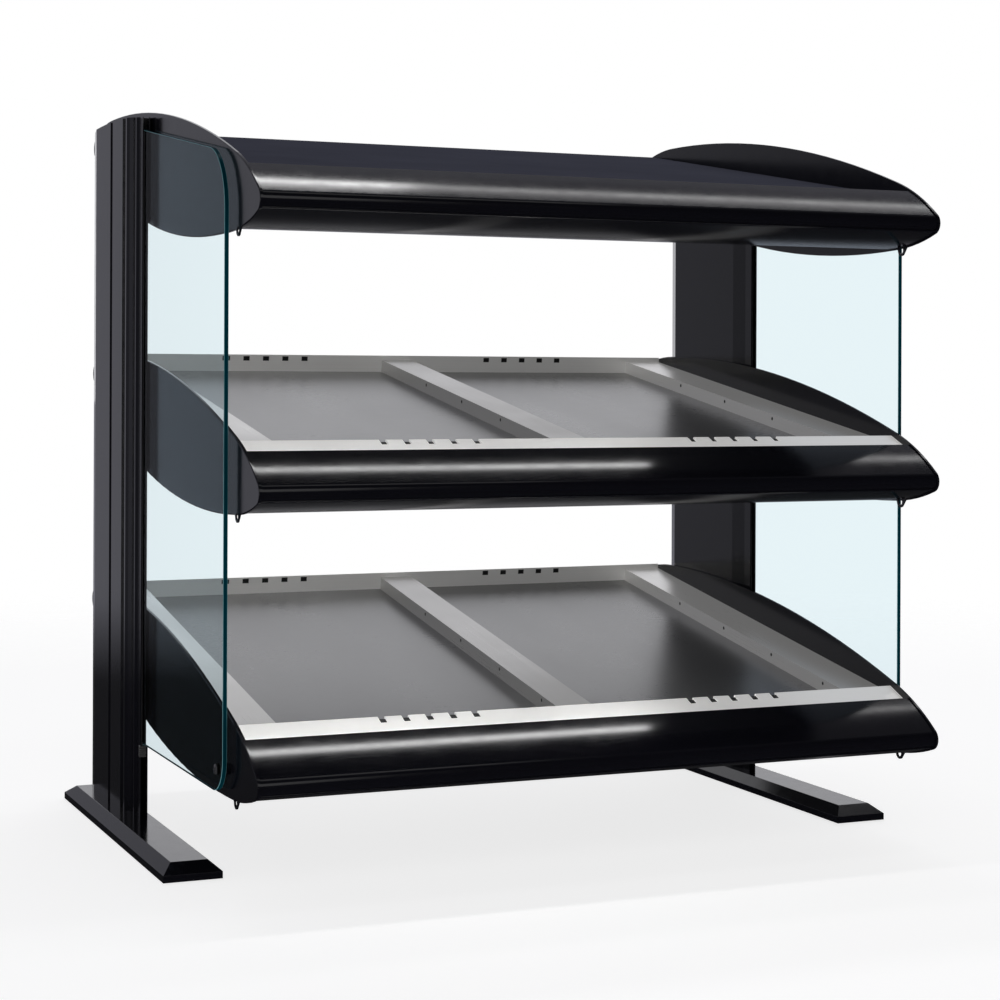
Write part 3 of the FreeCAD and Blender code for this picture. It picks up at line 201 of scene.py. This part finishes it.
# Each softbox: its name, where it stands, where it points, its width, its height and its brightness.
# The strip draws the bright bands along the noses, and its end carries them on more dimly.
SOFTBOXES = (
    ("strip", (0.25, 0.98, 3.37), (0.25, -0.37, 0.53), 1.2, 0.24, 12.0),
    ("strip_end", (1.85, 0.98, 3.37), (1.85, -0.37, 0.53), 2.0, 0.24, 3.0),
    ("screen", (1.5, 3.2, 1.7), (0.6, 0.0, 0.5), 4.2, 2.6, 0.6),
    ("front", (-0.8, -3.2, 2.0), (0.0, 0.0, 0.4), 3.6, 1.6, 1.2),
    ("overhead", (0.0, -0.9, 3.2), (0.0, -0.3, 0.4), 2.4, 0.5, 0.8),
    ("edge", (-4.0, -1.3, 0.6), (-0.4, 0.0, 0.5), 0.7, 2.2, 3.0),
)

# A narrow strip light close under the front of a deck, and a point below it, in the deck's own frame.
UNDER_DECK_PLACE = (-0.12, -0.268, -0.051)
UNDER_DECK_AIM = (-0.12, -0.262, -0.3)
UNDER_DECK_SIZE = (0.6, 0.024)
UNDER_DECK_BRIGHTNESS = {"canopy": 10.0, "middle": 15.0}


def make_lights():
    """The softboxes around the case, and a strip light under each of the two upper decks."""
    for softbox in SOFTBOXES:
        make_softbox(*softbox)
    for module, radiance in UNDER_DECK_BRIGHTNESS.items():
        deck = module_matrix(module)
        place = deck @ Vector(UNDER_DECK_PLACE)
        aim = deck @ Vector(UNDER_DECK_AIM)
        make_softbox(module + "_strip", place, aim, *UNDER_DECK_SIZE, radiance)


# ---------------------------------------------------------------------------
# Materials
# ---------------------------------------------------------------------------

class Surface:
    """A material on one Principled shader, with short ways to add to its nodes."""

    def __init__(self, name):
        self.material = bpy.data.materials.new(name)
        self.material.use_nodes = True
        self.nodes = self.material.node_tree.nodes
        self.links = self.material.node_tree.links
        self.shader = self.nodes["Principled BSDF"]
        self.output = self.nodes["Material Output"]

    def set(self, socket, value):
        """Sets one of the shader's own values."""
        self.shader.inputs[socket].default_value = value

    def add(self, kind, **settings):
        """A new node."""
        node = self.nodes.new(kind)
        for name, value in settings.items():
            setattr(node, name, value)
        return node

    def link(self, start, end):
        """Joins two sockets."""
        self.links.new(start, end)

    def place(self):
        """The point's place on the object, in metres."""
        return self.add("ShaderNodeTexCoord").outputs["Object"]

    def stretched(self, scales, tilt=0.0):
        """The point's place, turned by the tilt about X and then scaled along each axis."""
        turn = self.add("ShaderNodeVectorRotate", rotation_type="X_AXIS")
        turn.inputs["Angle"].default_value = -tilt
        self.link(self.place(), turn.inputs["Vector"])
        stretch = self.add("ShaderNodeVectorMath", operation="MULTIPLY")
        self.link(turn.outputs[0], stretch.inputs[0])
        stretch.inputs[1].default_value = scales
        return stretch.outputs[0]

    def noise(self, place, scale, detail=2.0, rough=0.5):
        """Noise from 0 to 1."""
        node = self.add("ShaderNodeTexNoise")
        node.inputs["Scale"].default_value = scale
        node.inputs["Detail"].default_value = detail
        node.inputs["Roughness"].default_value = rough
        self.link(place, node.inputs["Vector"])
        return node.outputs["Fac"]

    def ramp(self, value, low, high, to_low, to_high):
        """A value moved from one range to another."""
        node = self.add("ShaderNodeMapRange")
        node.inputs["From Min"].default_value = low
        node.inputs["From Max"].default_value = high
        node.inputs["To Min"].default_value = to_low
        node.inputs["To Max"].default_value = to_high
        self.link(value, node.inputs["Value"])
        return node.outputs["Result"]

    def blend(self, share, first, second):
        """A colour between two colours."""
        node = self.add("ShaderNodeMix", data_type="RGBA")
        node.inputs[6].default_value = (*first, 1.0)
        node.inputs[7].default_value = (*second, 1.0)
        self.link(share, node.inputs[0])
        return node.outputs[2]

    def bump(self, height, distance, strength=1.0):
        """Raises the surface by a height, in metres at full strength."""
        node = self.add("ShaderNodeBump")
        node.inputs["Distance"].default_value = distance
        node.inputs["Strength"].default_value = strength
        self.link(height, node.inputs["Height"])
        self.link(node.outputs["Normal"], self.shader.inputs["Normal"])


def paint(name, colour, rough, peel, specular=0.5):
    """Enamel: a little orange peel, and faint handling marks in its gloss."""
    tree = Surface(name)
    place = tree.place()
    cloud = tree.noise(place, 9.0, 4.0)
    tree.set("Specular IOR Level", specular)
    darker = [part * 0.75 for part in colour]
    tree.link(tree.blend(cloud, darker, colour), tree.shader.inputs["Base Color"])
    marks = tree.noise(place, 55.0, 5.0, 0.62)
    tree.link(tree.ramp(marks, 0.3, 0.8, rough * 0.85, rough * 1.3), tree.shader.inputs["Roughness"])
    tree.bump(tree.noise(place, 900.0, 2.0), peel)
    return tree.material


def brushed(name, colour, rough, grain, tilt=0.0, painted_fill_light=0.0):
    """Brushed steel. The grain runs along the axis with the small scale. The painted fill light is an emission:
    painted light that stands in for a little fill light on the steel.
    """
    tree = Surface(name)
    tree.set("Emission Color", (1.0, 0.99, 0.97, 1.0))
    # Painted light: an emission on the steel that stands in for fill light.
    tree.set("Emission Strength", painted_fill_light)
    tree.set("Metallic", 1.0)
    place = tree.stretched(grain, tilt)
    lines = tree.noise(place, 1.0, 6.0, 0.7)
    cloud = tree.noise(tree.place(), 7.0, 3.0)
    darker = [part * 0.82 for part in colour]
    tree.link(tree.blend(lines, darker, colour), tree.shader.inputs["Base Color"])
    gloss = tree.add("ShaderNodeMath", operation="ADD")
    tree.link(tree.ramp(lines, 0.25, 0.75, rough * 0.8, rough * 1.2), gloss.inputs[0])
    tree.link(tree.ramp(cloud, 0.3, 0.7, -0.03, 0.05), gloss.inputs[1])
    tree.link(gloss.outputs[0], tree.shader.inputs["Roughness"])
    tree.bump(lines, 0.000012)
    return tree.material


def plate_metal():
    """The heated plates: hard-coated aluminium with fine scratches from trays pushed over it."""
    tree = Surface("heated_plate")
    tree.set("Metallic", 0.85)
    fine = tree.noise(tree.stretched((60.0, 900.0, 900.0), TILT), 1.0, 4.0, 0.6)
    wiped = tree.noise(tree.stretched((9.0, 3.0, 9.0), TILT), 1.0, 4.0, 0.55)
    tree.link(tree.blend(wiped, (0.22, 0.22, 0.218), (0.25, 0.25, 0.248)), tree.shader.inputs["Base Color"])
    gloss = tree.add("ShaderNodeMath", operation="ADD")
    tree.link(tree.ramp(wiped, 0.3, 0.7, 0.27, 0.31), gloss.inputs[0])
    tree.link(tree.ramp(fine, 0.3, 0.7, -0.015, 0.02), gloss.inputs[1])
    tree.link(gloss.outputs[0], tree.shader.inputs["Roughness"])
    tree.bump(fine, 0.0000003)
    return tree.material


def pane_glass():
    """Tempered glass: clear through its faces, pale cyan at its ground arris, deep teal at its edge."""
    tree = Surface("side_glass")
    tree.set("IOR", 1.05)
    smear = tree.noise(tree.place(), 6.0, 4.0)
    way = tree.add("ShaderNodeNewGeometry")
    split = tree.add("ShaderNodeSeparateXYZ")
    tree.link(way.outputs["Normal"], split.inputs[0])
    across = tree.add("ShaderNodeMath", operation="ABSOLUTE")
    tree.link(split.outputs["X"], across.inputs[0])
    face = tree.ramp(across.outputs[0], 0.9, 0.98, 0.0, 1.0)
    arris = tree.ramp(across.outputs[0], 0.05, 0.4, 0.0, 1.0)
    ground = tree.blend(arris, (0.0, 0.035, 0.05), (0.16, 0.38, 0.42))
    colour = tree.add("ShaderNodeMix", data_type="RGBA")
    tree.link(face, colour.inputs[0])
    tree.link(ground, colour.inputs[6])
    colour.inputs[7].default_value = (0.80, 0.905, 0.935, 1.0)
    tree.link(colour.outputs[2], tree.shader.inputs["Base Color"])
    tree.link(face, tree.shader.inputs["Transmission Weight"])
    gloss = tree.add("ShaderNodeMath", operation="ADD")
    tree.link(tree.ramp(face, 0.0, 1.0, 0.22, 0.0), gloss.inputs[0])
    tree.link(tree.ramp(smear, 0.4, 0.8, 0.0, 0.004), gloss.inputs[1])
    tree.link(gloss.outputs[0], tree.shader.inputs["Roughness"])
    return tree.material


def rubber():
    """Matt black rubber."""
    tree = Surface("rubber")
    place = tree.place()
    tree.link(
        tree.blend(tree.noise(place, 40.0, 4.0), (0.012, 0.012, 0.013), (0.03, 0.03, 0.031)),
        tree.shader.inputs["Base Color"],
    )
    tree.set("Roughness", 0.8)
    tree.bump(tree.noise(place, 1200.0, 2.0), 0.00003)
    return tree.material


def moulded(name, colour, rough, grain=0.00002):
    """Moulded plastic with a fine spark-eroded grain."""
    tree = Surface(name)
    place = tree.place()
    darker = [part * 0.8 for part in colour]
    tree.link(tree.blend(tree.noise(place, 30.0, 3.0), darker, colour), tree.shader.inputs["Base Color"])
    tree.link(tree.ramp(tree.noise(place, 160.0, 3.0), 0.3, 0.7, rough * 0.85, rough * 1.15),
              tree.shader.inputs["Roughness"])
    tree.bump(tree.noise(place, 1800.0, 2.0), grain)
    return tree.material


def oxidised_sheath():
    """A tubular heater's sheath: dull steel, blued and browned by heat."""
    tree = Surface("heater_sheath")
    tree.set("Metallic", 0.8)
    bands = tree.noise(tree.stretched((14.0, 60.0, 60.0)), 1.0, 4.0)
    tree.link(tree.blend(bands, (0.10, 0.085, 0.075), (0.22, 0.20, 0.19)), tree.shader.inputs["Base Color"])
    tree.set("Roughness", 0.5)
    tree.bump(tree.noise(tree.place(), 700.0, 3.0), 0.00003)
    return tree.material


def mineral_board():
    """Pressed mineral fibre."""
    tree = Surface("mineral_board")
    fibres = tree.noise(tree.place(), 300.0, 6.0, 0.7)
    tree.link(tree.blend(fibres, (0.42, 0.37, 0.26), (0.66, 0.6, 0.46)), tree.shader.inputs["Base Color"])
    tree.set("Roughness", 0.95)
    tree.bump(fibres, 0.0008)
    return tree.material


def make_materials():
    """Every material by name."""
    along_x = (5.0, 1400.0, 1400.0)
    along_s = (1400.0, 5.0, 1400.0)
    steel = (0.74, 0.735, 0.72)
    return {
        "gloss_black": paint("gloss_black", (0.005, 0.005, 0.008), 0.14, 0.0000002, 0.35),
        "satin_black": paint("satin_black", (0.012, 0.012, 0.014), 0.38, 0.00002, 0.3),
        "cover": paint("canopy_cover", (0.10, 0.104, 0.138), 0.5, 0.0000001, 0.0),
        # One steel, in lit and shaded copies: each emission is painted fill light, strongest on the front rail,
        # and the darker colours of the side rails and divider are painted shade.
        "rail": brushed("rail_steel", steel, 0.34, along_x, TILT, 0.13),
        "cross_rail": brushed("cross_rail_steel_painted_shade_and_light", (0.62, 0.615, 0.60), 0.32, along_s, TILT, 0.12),
        "front_rail": brushed("front_rail_steel_painted_light", steel, 0.34, along_x, TILT, 0.42),
        "divider": brushed("divider_steel_painted_shade_and_light", (0.42, 0.415, 0.405), 0.32, along_s, TILT, 0.07),
        "clip": brushed("clip_steel", steel, 0.25, along_x),
        "reflector": brushed("pan_steel", (0.55, 0.55, 0.54), 0.35, along_x, TILT),
        "screw": brushed("zinc", (0.6, 0.6, 0.58), 0.28, (300.0, 300.0, 300.0)),
        "wire": brushed("guard_wire", (0.7, 0.7, 0.7), 0.14, (40.0, 40.0, 40.0)),
        "plate": plate_metal(),
        "glass": pane_glass(),
        "rubber": rubber(),
        "sheath": oxidised_sheath(),
        "board": mineral_board(),
        "mat": moulded("silicone_mat", (0.4, 0.1, 0.04), 0.6),
        "plastic": moulded("black_plastic", (0.012, 0.012, 0.012), 0.25, 0.000008),
        "knob": moulded("knob_plastic", (0.02, 0.02, 0.021), 0.42),
        "gland": moulded("gland_plastic", (0.02, 0.02, 0.02), 0.55),
        "thermostat": moulded("thermostat_case", (0.4, 0.38, 0.33), 0.5),
        "print": moulded("white_print", (0.75, 0.75, 0.73), 0.5, 0.000004),
        "spacer": moulded("spacer_plastic", (0.05, 0.05, 0.055), 0.2, 0.000005),
    }


def material_of(node):
    """The name of a CAD node's material."""
    exact = {
        "foot_pads": "rubber", "glazing_seals": "rubber", "base_screws": "screw", "end_cap_screws": "screw",
        "glass_clips": "clip", "glass_spacers": "spacer", "switch_bodies": "plastic",
        "canopy_top_cover": "cover", "heater_brackets": "reflector", "base_heaters": "mat",
        "insulation_slabs": "board", "thermostats": "thermostat", "cord_gland": "gland",
    }
    endings = {
        "side_glass_left": "glass", "side_glass_right": "glass",
        "front_rail": "front_rail", "rear_rail": "rail", "divider": "divider",
        "side_rail_left": "cross_rail", "side_rail_right": "cross_rail",
        "plate_left": "plate", "plate_right": "plate",
        "reflector": "reflector", "bottom_pan": "reflector", "rear_fascia": "satin_black",
        "heater_guard": "wire", "heaters": "sheath", "rocker": "plastic", "knob": "knob",
        "thermostat_shaft": "screw",
    }
    if node in exact:
        return exact[node]
    for ending, name in endings.items():
        if node.endswith(ending):
            return name
    return "gloss_black"


def dress_nodes(materials):
    """Gives each CAD node its material."""
    for name, node in frame["nodes"].items():
        node.data.materials.clear()
        node.data.materials.append(materials[material_of(name)])


# How far each kind of piece's edges are rounded, in millimetres, by the end of its name.
EDGE_ROUNDING = {
    "front_rail": 0.7, "rear_rail": 0.7, "divider": 0.7, "side_rail_left": 0.7, "side_rail_right": 0.7,
    "rear_fascia": 0.6, "top_cover": 0.6, "post_left": 0.9, "post_right": 0.9, "glass_clips": 0.4,
    "switch_bodies": 0.5, "thermostats": 0.5, "reflector": 0.4, "bottom_pan": 0.4,
}


def round_edges():
    """Rounds the folded and cut edges that the CAD model leaves sharp."""
    for name, node in frame["nodes"].items():
        for ending, width in EDGE_ROUNDING.items():
            if name.endswith(ending):
                weld = node.modifiers.new("weld", "WELD")
                weld.merge_threshold = 0.00001
                flat = node.modifiers.new("flat", "DECIMATE")
                flat.decimate_type = "DISSOLVE"
                flat.angle_limit = math.radians(0.3)
                bevel = node.modifiers.new("bevel", "BEVEL")
                bevel.width = width * MM
                bevel.segments = 2
                bevel.limit_method = "ANGLE"
                bevel.angle_limit = math.radians(35.0)
                bevel.harden_normals = True


# ---------------------------------------------------------------------------
# Small pieces that the CAD model leaves out
# ---------------------------------------------------------------------------

def add_piece(name, builder, matrix, material, body, rounding=0.0):
    """One new piece, built by a function on a bmesh in millimetres in a frame of its own."""
    mesh = bpy.data.meshes.new(name)
    work = bmesh.new()
    builder(work)
    bmesh.ops.recalc_face_normals(work, faces=work.faces)
    bmesh.ops.scale(work, vec=(MM, MM, MM), verts=work.verts)
    bmesh.ops.transform(work, matrix=matrix, verts=work.verts)
    work.to_mesh(mesh)
    work.free()
    piece = bpy.data.objects.new(name, mesh)
    scene.collection.objects.link(piece)
    piece.data.materials.append(materials[material])
    if rounding:
        bevel = piece.modifiers.new("bevel", "BEVEL")
        bevel.width = rounding * MM
        bevel.segments = 2
        bevel.angle_limit = math.radians(35.0)
    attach(piece, body)
    return piece


def extrude(work, section, low, high):
    """A solid with a section in Y and Z that runs from one X to another."""
    ends = [[work.verts.new((x, across, up)) for across, up in section] for x in (low, high)]
    work.faces.new(ends[0])
    work.faces.new(ends[1])
    for index in range(len(section)):
        following = (index + 1) % len(section)
        work.faces.new((ends[0][index], ends[0][following], ends[1][following], ends[1][index]))


def revolve(work, profile, steps=24):
    """A solid of revolution about Y, from (radius, place along Y) points."""
    rings = []
    for radius, along in profile:
        if radius == 0.0:
            rings.append([work.verts.new((0.0, along, 0.0))])
            continue
        turns = [2 * math.pi * step / steps for step in range(steps)]
        rings.append([work.verts.new((radius * math.cos(t), along, radius * math.sin(t))) for t in turns])
    for first, second in zip(rings, rings[1:]):
        for step in range(steps):
            following = (step + 1) % steps
            corners = []
            for ring, index in ((first, step), (first, following), (second, following), (second, step)):
                corner = ring[index % len(ring)]
                if corner not in corners:
                    corners.append(corner)
            if len(corners) > 2:
                work.faces.new(corners)


def add_part(work, builder, matrix):
    """Adds to a bmesh what a function builds, moved by a matrix."""
    own = bmesh.new()
    builder(own)
    bmesh.ops.transform(own, matrix=matrix, verts=own.verts)
    mesh = bpy.data.meshes.new("part")
    own.to_mesh(mesh)
    own.free()
    work.from_mesh(mesh)
    bpy.data.meshes.remove(mesh)


# Sections, in a shelf's own Y and Z, of the black strips behind the slots of its rails, and where
# the strips run along X. The strips are painted shade: dark pieces that stand in for the shade inside the hollow
# rails.
FRONT_SHADE_STRIP = (
    (-285.5, 34.4), (-300.0, 30.9), (-300.0, 27.0),
    (-292.0, 27.0), (-292.0, 25.0), (-285.5, 25.0),
)
REAR_SHADE_STRIP = (
    (339.5, 31.9), (339.5, 25.0), (345.0, 25.0),
    (345.0, 26.5), (342.5, 27.0), (342.5, 29.8),
)
SHADE_STRIP_SPANS = {"left": (-253.0, -127.0), "right": (127.0, 253.0)}


def add_shade_strips():
    """Black strips behind the slots of the rails: painted shade that stands in for the dark inside the hollow
    rails.
    """
    for shelf in SHELVES:
        for end, section in (("front", FRONT_SHADE_STRIP), ("rear", REAR_SHADE_STRIP)):
            for side, (low, high) in SHADE_STRIP_SPANS.items():
                def build(work, section=section, low=low, high=high):
                    extrude(work, section, low, high)
                name = "%s_%s_liner_%s" % (shelf, end, side)
                # Painted shade: a dark strip where the inside of the rail is only in shade.
                add_piece(name, build, module_matrix(shelf), "rubber", "case", 0.3)


# Of the small holes in the side rails and the divider, in millimetres: the foremost one's place,
# the distance between them, their height, and the radius of the black studs that fill them, which are painted
# shade standing in for the dark inside the rails.
HOLE_FIRST = -217.5
HOLE_PITCH = 127.0
HOLE_HEIGHT = 22.0
HOLE_COUNT = 4
SHADE_STUD_RADIUS = 2.2

# The black strips behind the holes, painted shade like their studs: their section in Y and Z, half their
# thickness, and for each the place of its middle along X and of the studs' ends, just inside the steel's outer
# face.
HOLE_SHADE_STRIP = ((-225.0, 17.0), (172.0, 17.0), (172.0, 25.5), (-225.0, 25.5))
HOLE_SHADE_STRIP_HALF = 0.6
HOLE_SHADE_STRIP_PLACES = {
    "left_rail": (-358.0, -356.2), "divider_left": (-20.6, -22.3),
    "divider_right": (20.6, 22.3), "right_rail": (358.0, 356.2),
}


def add_hole_shade_strips():
    """Black strips inside the divider and the side rails, with a black stud in each of the small holes: painted
    shade for the dark inside the rails.
    """
    turn = Matrix.Rotation(math.radians(-90.0), 4, "Z")
    for shelf in SHELVES:
        for name, (x, face) in HOLE_SHADE_STRIP_PLACES.items():
            def build(work, x=x, length=face - x):
                extrude(work, HOLE_SHADE_STRIP, x - HOLE_SHADE_STRIP_HALF, x + HOLE_SHADE_STRIP_HALF)
                profile = ((0.0, 0.0), (SHADE_STUD_RADIUS, 0.0), (SHADE_STUD_RADIUS, length), (0.0, length))
                for index in range(HOLE_COUNT):
                    place = Matrix.Translation((x, HOLE_FIRST + index * HOLE_PITCH, HOLE_HEIGHT))
                    add_part(work, lambda part: revolve(part, profile, 20), place @ turn)
            name = "%s_hole_liner_%s" % (shelf, name)
            # Painted shade: dark strips and studs where the holes would show only the shade inside.
            add_piece(name, build, module_matrix(shelf), "rubber", "case", 0.15)


# How much wider and flatter a glass button is than a fascia screw's head.
BUTTON_SPREAD = 1.5
BUTTON_FLATTENING = 0.8


def add_glass_buttons():
    """The domed heads, outside the glass, of the screws through the spacers."""
    spacer_low, spacer_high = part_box("glass_spacers")
    middle = [(low + high) / 2 for low, high in zip(spacer_low, spacer_high)]
    for side, sign in (("left", -1.0), ("right", 1.0)):
        low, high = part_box("side_glass_" + side)
        face = max(abs(low[0]), abs(high[0]))
        turn = Matrix.Rotation(math.radians(-90.0 * sign), 4, "Z")
        spread = Matrix.Diagonal((BUTTON_SPREAD, BUTTON_FLATTENING, BUTTON_SPREAD, 1.0))
        matrix = Matrix.Translation((sign * face, middle[1], middle[2])) @ turn @ spread
        add_piece("glass_button_" + side, screw_head, matrix, "spacer", "case")


# From the bottom of the socket, over the rim and the crown, down to the seat.
SCREW_PROFILE = (
    (0.0, 0.9), (1.3, 1.1), (1.5, 2.1), (2.2, 2.2),
    (3.3, 1.7), (3.9, 0.8), (4.0, 0.0), (0.0, 0.0),
)


def screw_head(work):
    """A pan head with a round socket, its seat at the origin and its crown towards Y."""
    revolve(work, SCREW_PROFILE)


# The screws of a rear fascia: their places across it and up it, and how far behind a rocker's
# axis its face is, all in millimetres.
FASCIA_SCREW_ACROSS = 395.0
FASCIA_SCREW_UP = 10.0
FACE_BEHIND_ROCKER = 2.5


def add_fascia_screws():
    """Four small screws near the ends of each rear fascia."""
    for module in MODULES:
        face = joint_place(module + "_rocker_press").y / math.cos(TILT) + FACE_BEHIND_ROCKER * MM
        for x in (-FASCIA_SCREW_ACROSS, FASCIA_SCREW_ACROSS):
            for n in (-FASCIA_SCREW_UP, FASCIA_SCREW_UP):
                matrix = module_matrix(module) @ Matrix.Translation((x * MM, face, n * MM))
                name = "%s_fascia_screw_%d_%d" % (module, x, n)
                add_piece(name, screw_head, matrix, "screw", "case")


# The rocker at rest leans back by half its throw. Its two faces meet in a valley, and the marks are
# printed on them this far above and below the axis.
ROCKER_REST_LEAN = math.radians(8.0)
ROCKER_FACE_LEAN = math.atan2(2.0, 8.54)
MARK_OFFSET = 4.7 * MM

# The face's distance from the axis, and the print's own face, in millimetres.
MARK_SEAT = 4.28
MARK_FACE = 4.40


def add_rocker_marks():
    """The on and off marks printed on each rocker's two faces."""
    def bar(work):
        section = ((MARK_SEAT, 3.2), (MARK_FACE, 3.2), (MARK_FACE, 6.2), (MARK_SEAT, 6.2))
        extrude(work, section, -0.45, 0.45)

    def ring(work):
        inner, outer = 1.2, 1.8
        revolve(work, (
            (inner, MARK_SEAT), (inner, MARK_FACE), (outer, MARK_FACE), (outer, MARK_SEAT), (inner, MARK_SEAT),
        ))

    up = Matrix.Translation((0.0, 0.0, MARK_OFFSET))
    down = Matrix.Translation((0.0, 0.0, -MARK_OFFSET))
    for module in MODULES:
        pivot = Matrix.Translation(joint_place(module + "_rocker_press"))
        own = pivot @ Matrix.Rotation(TILT - ROCKER_REST_LEAN, 4, "X")
        high = own @ up @ Matrix.Rotation(-ROCKER_FACE_LEAN, 4, "X") @ down
        add_piece(module + "_rocker_mark_on", bar, high, "print", module + "_rocker")
        low = own @ down @ Matrix.Rotation(ROCKER_FACE_LEAN, 4, "X")
        add_piece(module + "_rocker_mark_off", ring, low, "print", module + "_rocker")


# Sections, in Y along a knob's axis and Z outwards from it, of its pointer and of one tick.
POINTER = ((13.42, 5.2), (13.72, 5.2), (13.72, 11.8), (13.42, 11.8))
TICK = ((4.30, 13.8), (4.45, 13.8), (3.35, 16.4), (3.20, 16.4))
TICK_COUNT = 11
KNOB_TURN = 270.0


def add_knob_marks():
    """The white pointer in each knob's groove, and ticks around its skirt."""
    def build(work):
        extrude(work, POINTER, -0.65, 0.65)
        for step in range(TICK_COUNT):
            angle = KNOB_TURN * step / (TICK_COUNT - 1) - KNOB_TURN / 2
            turn = Matrix.Rotation(math.radians(angle), 4, "Y")
            add_part(work, lambda part: extrude(part, TICK, -0.3, 0.3), turn)

    for shelf in SHELVES:
        base = Matrix.Translation(joint_place(shelf + "_knob_turn")) @ Matrix.Rotation(TILT, 4, "X")
        add_piece(shelf + "_knob_marks", build, base, "print", shelf + "_knob")


# ---------------------------------------------------------------------------
# The scene
# ---------------------------------------------------------------------------

make_camera()
make_world()
make_floor()
make_lights()
scene.view_settings.view_transform = "Standard"
materials = make_materials()
dress_nodes(materials)
round_edges()
add_shade_strips()
add_hole_shade_strips()
add_glass_buttons()
add_fascia_screws()
add_rocker_marks()
add_knob_marks()
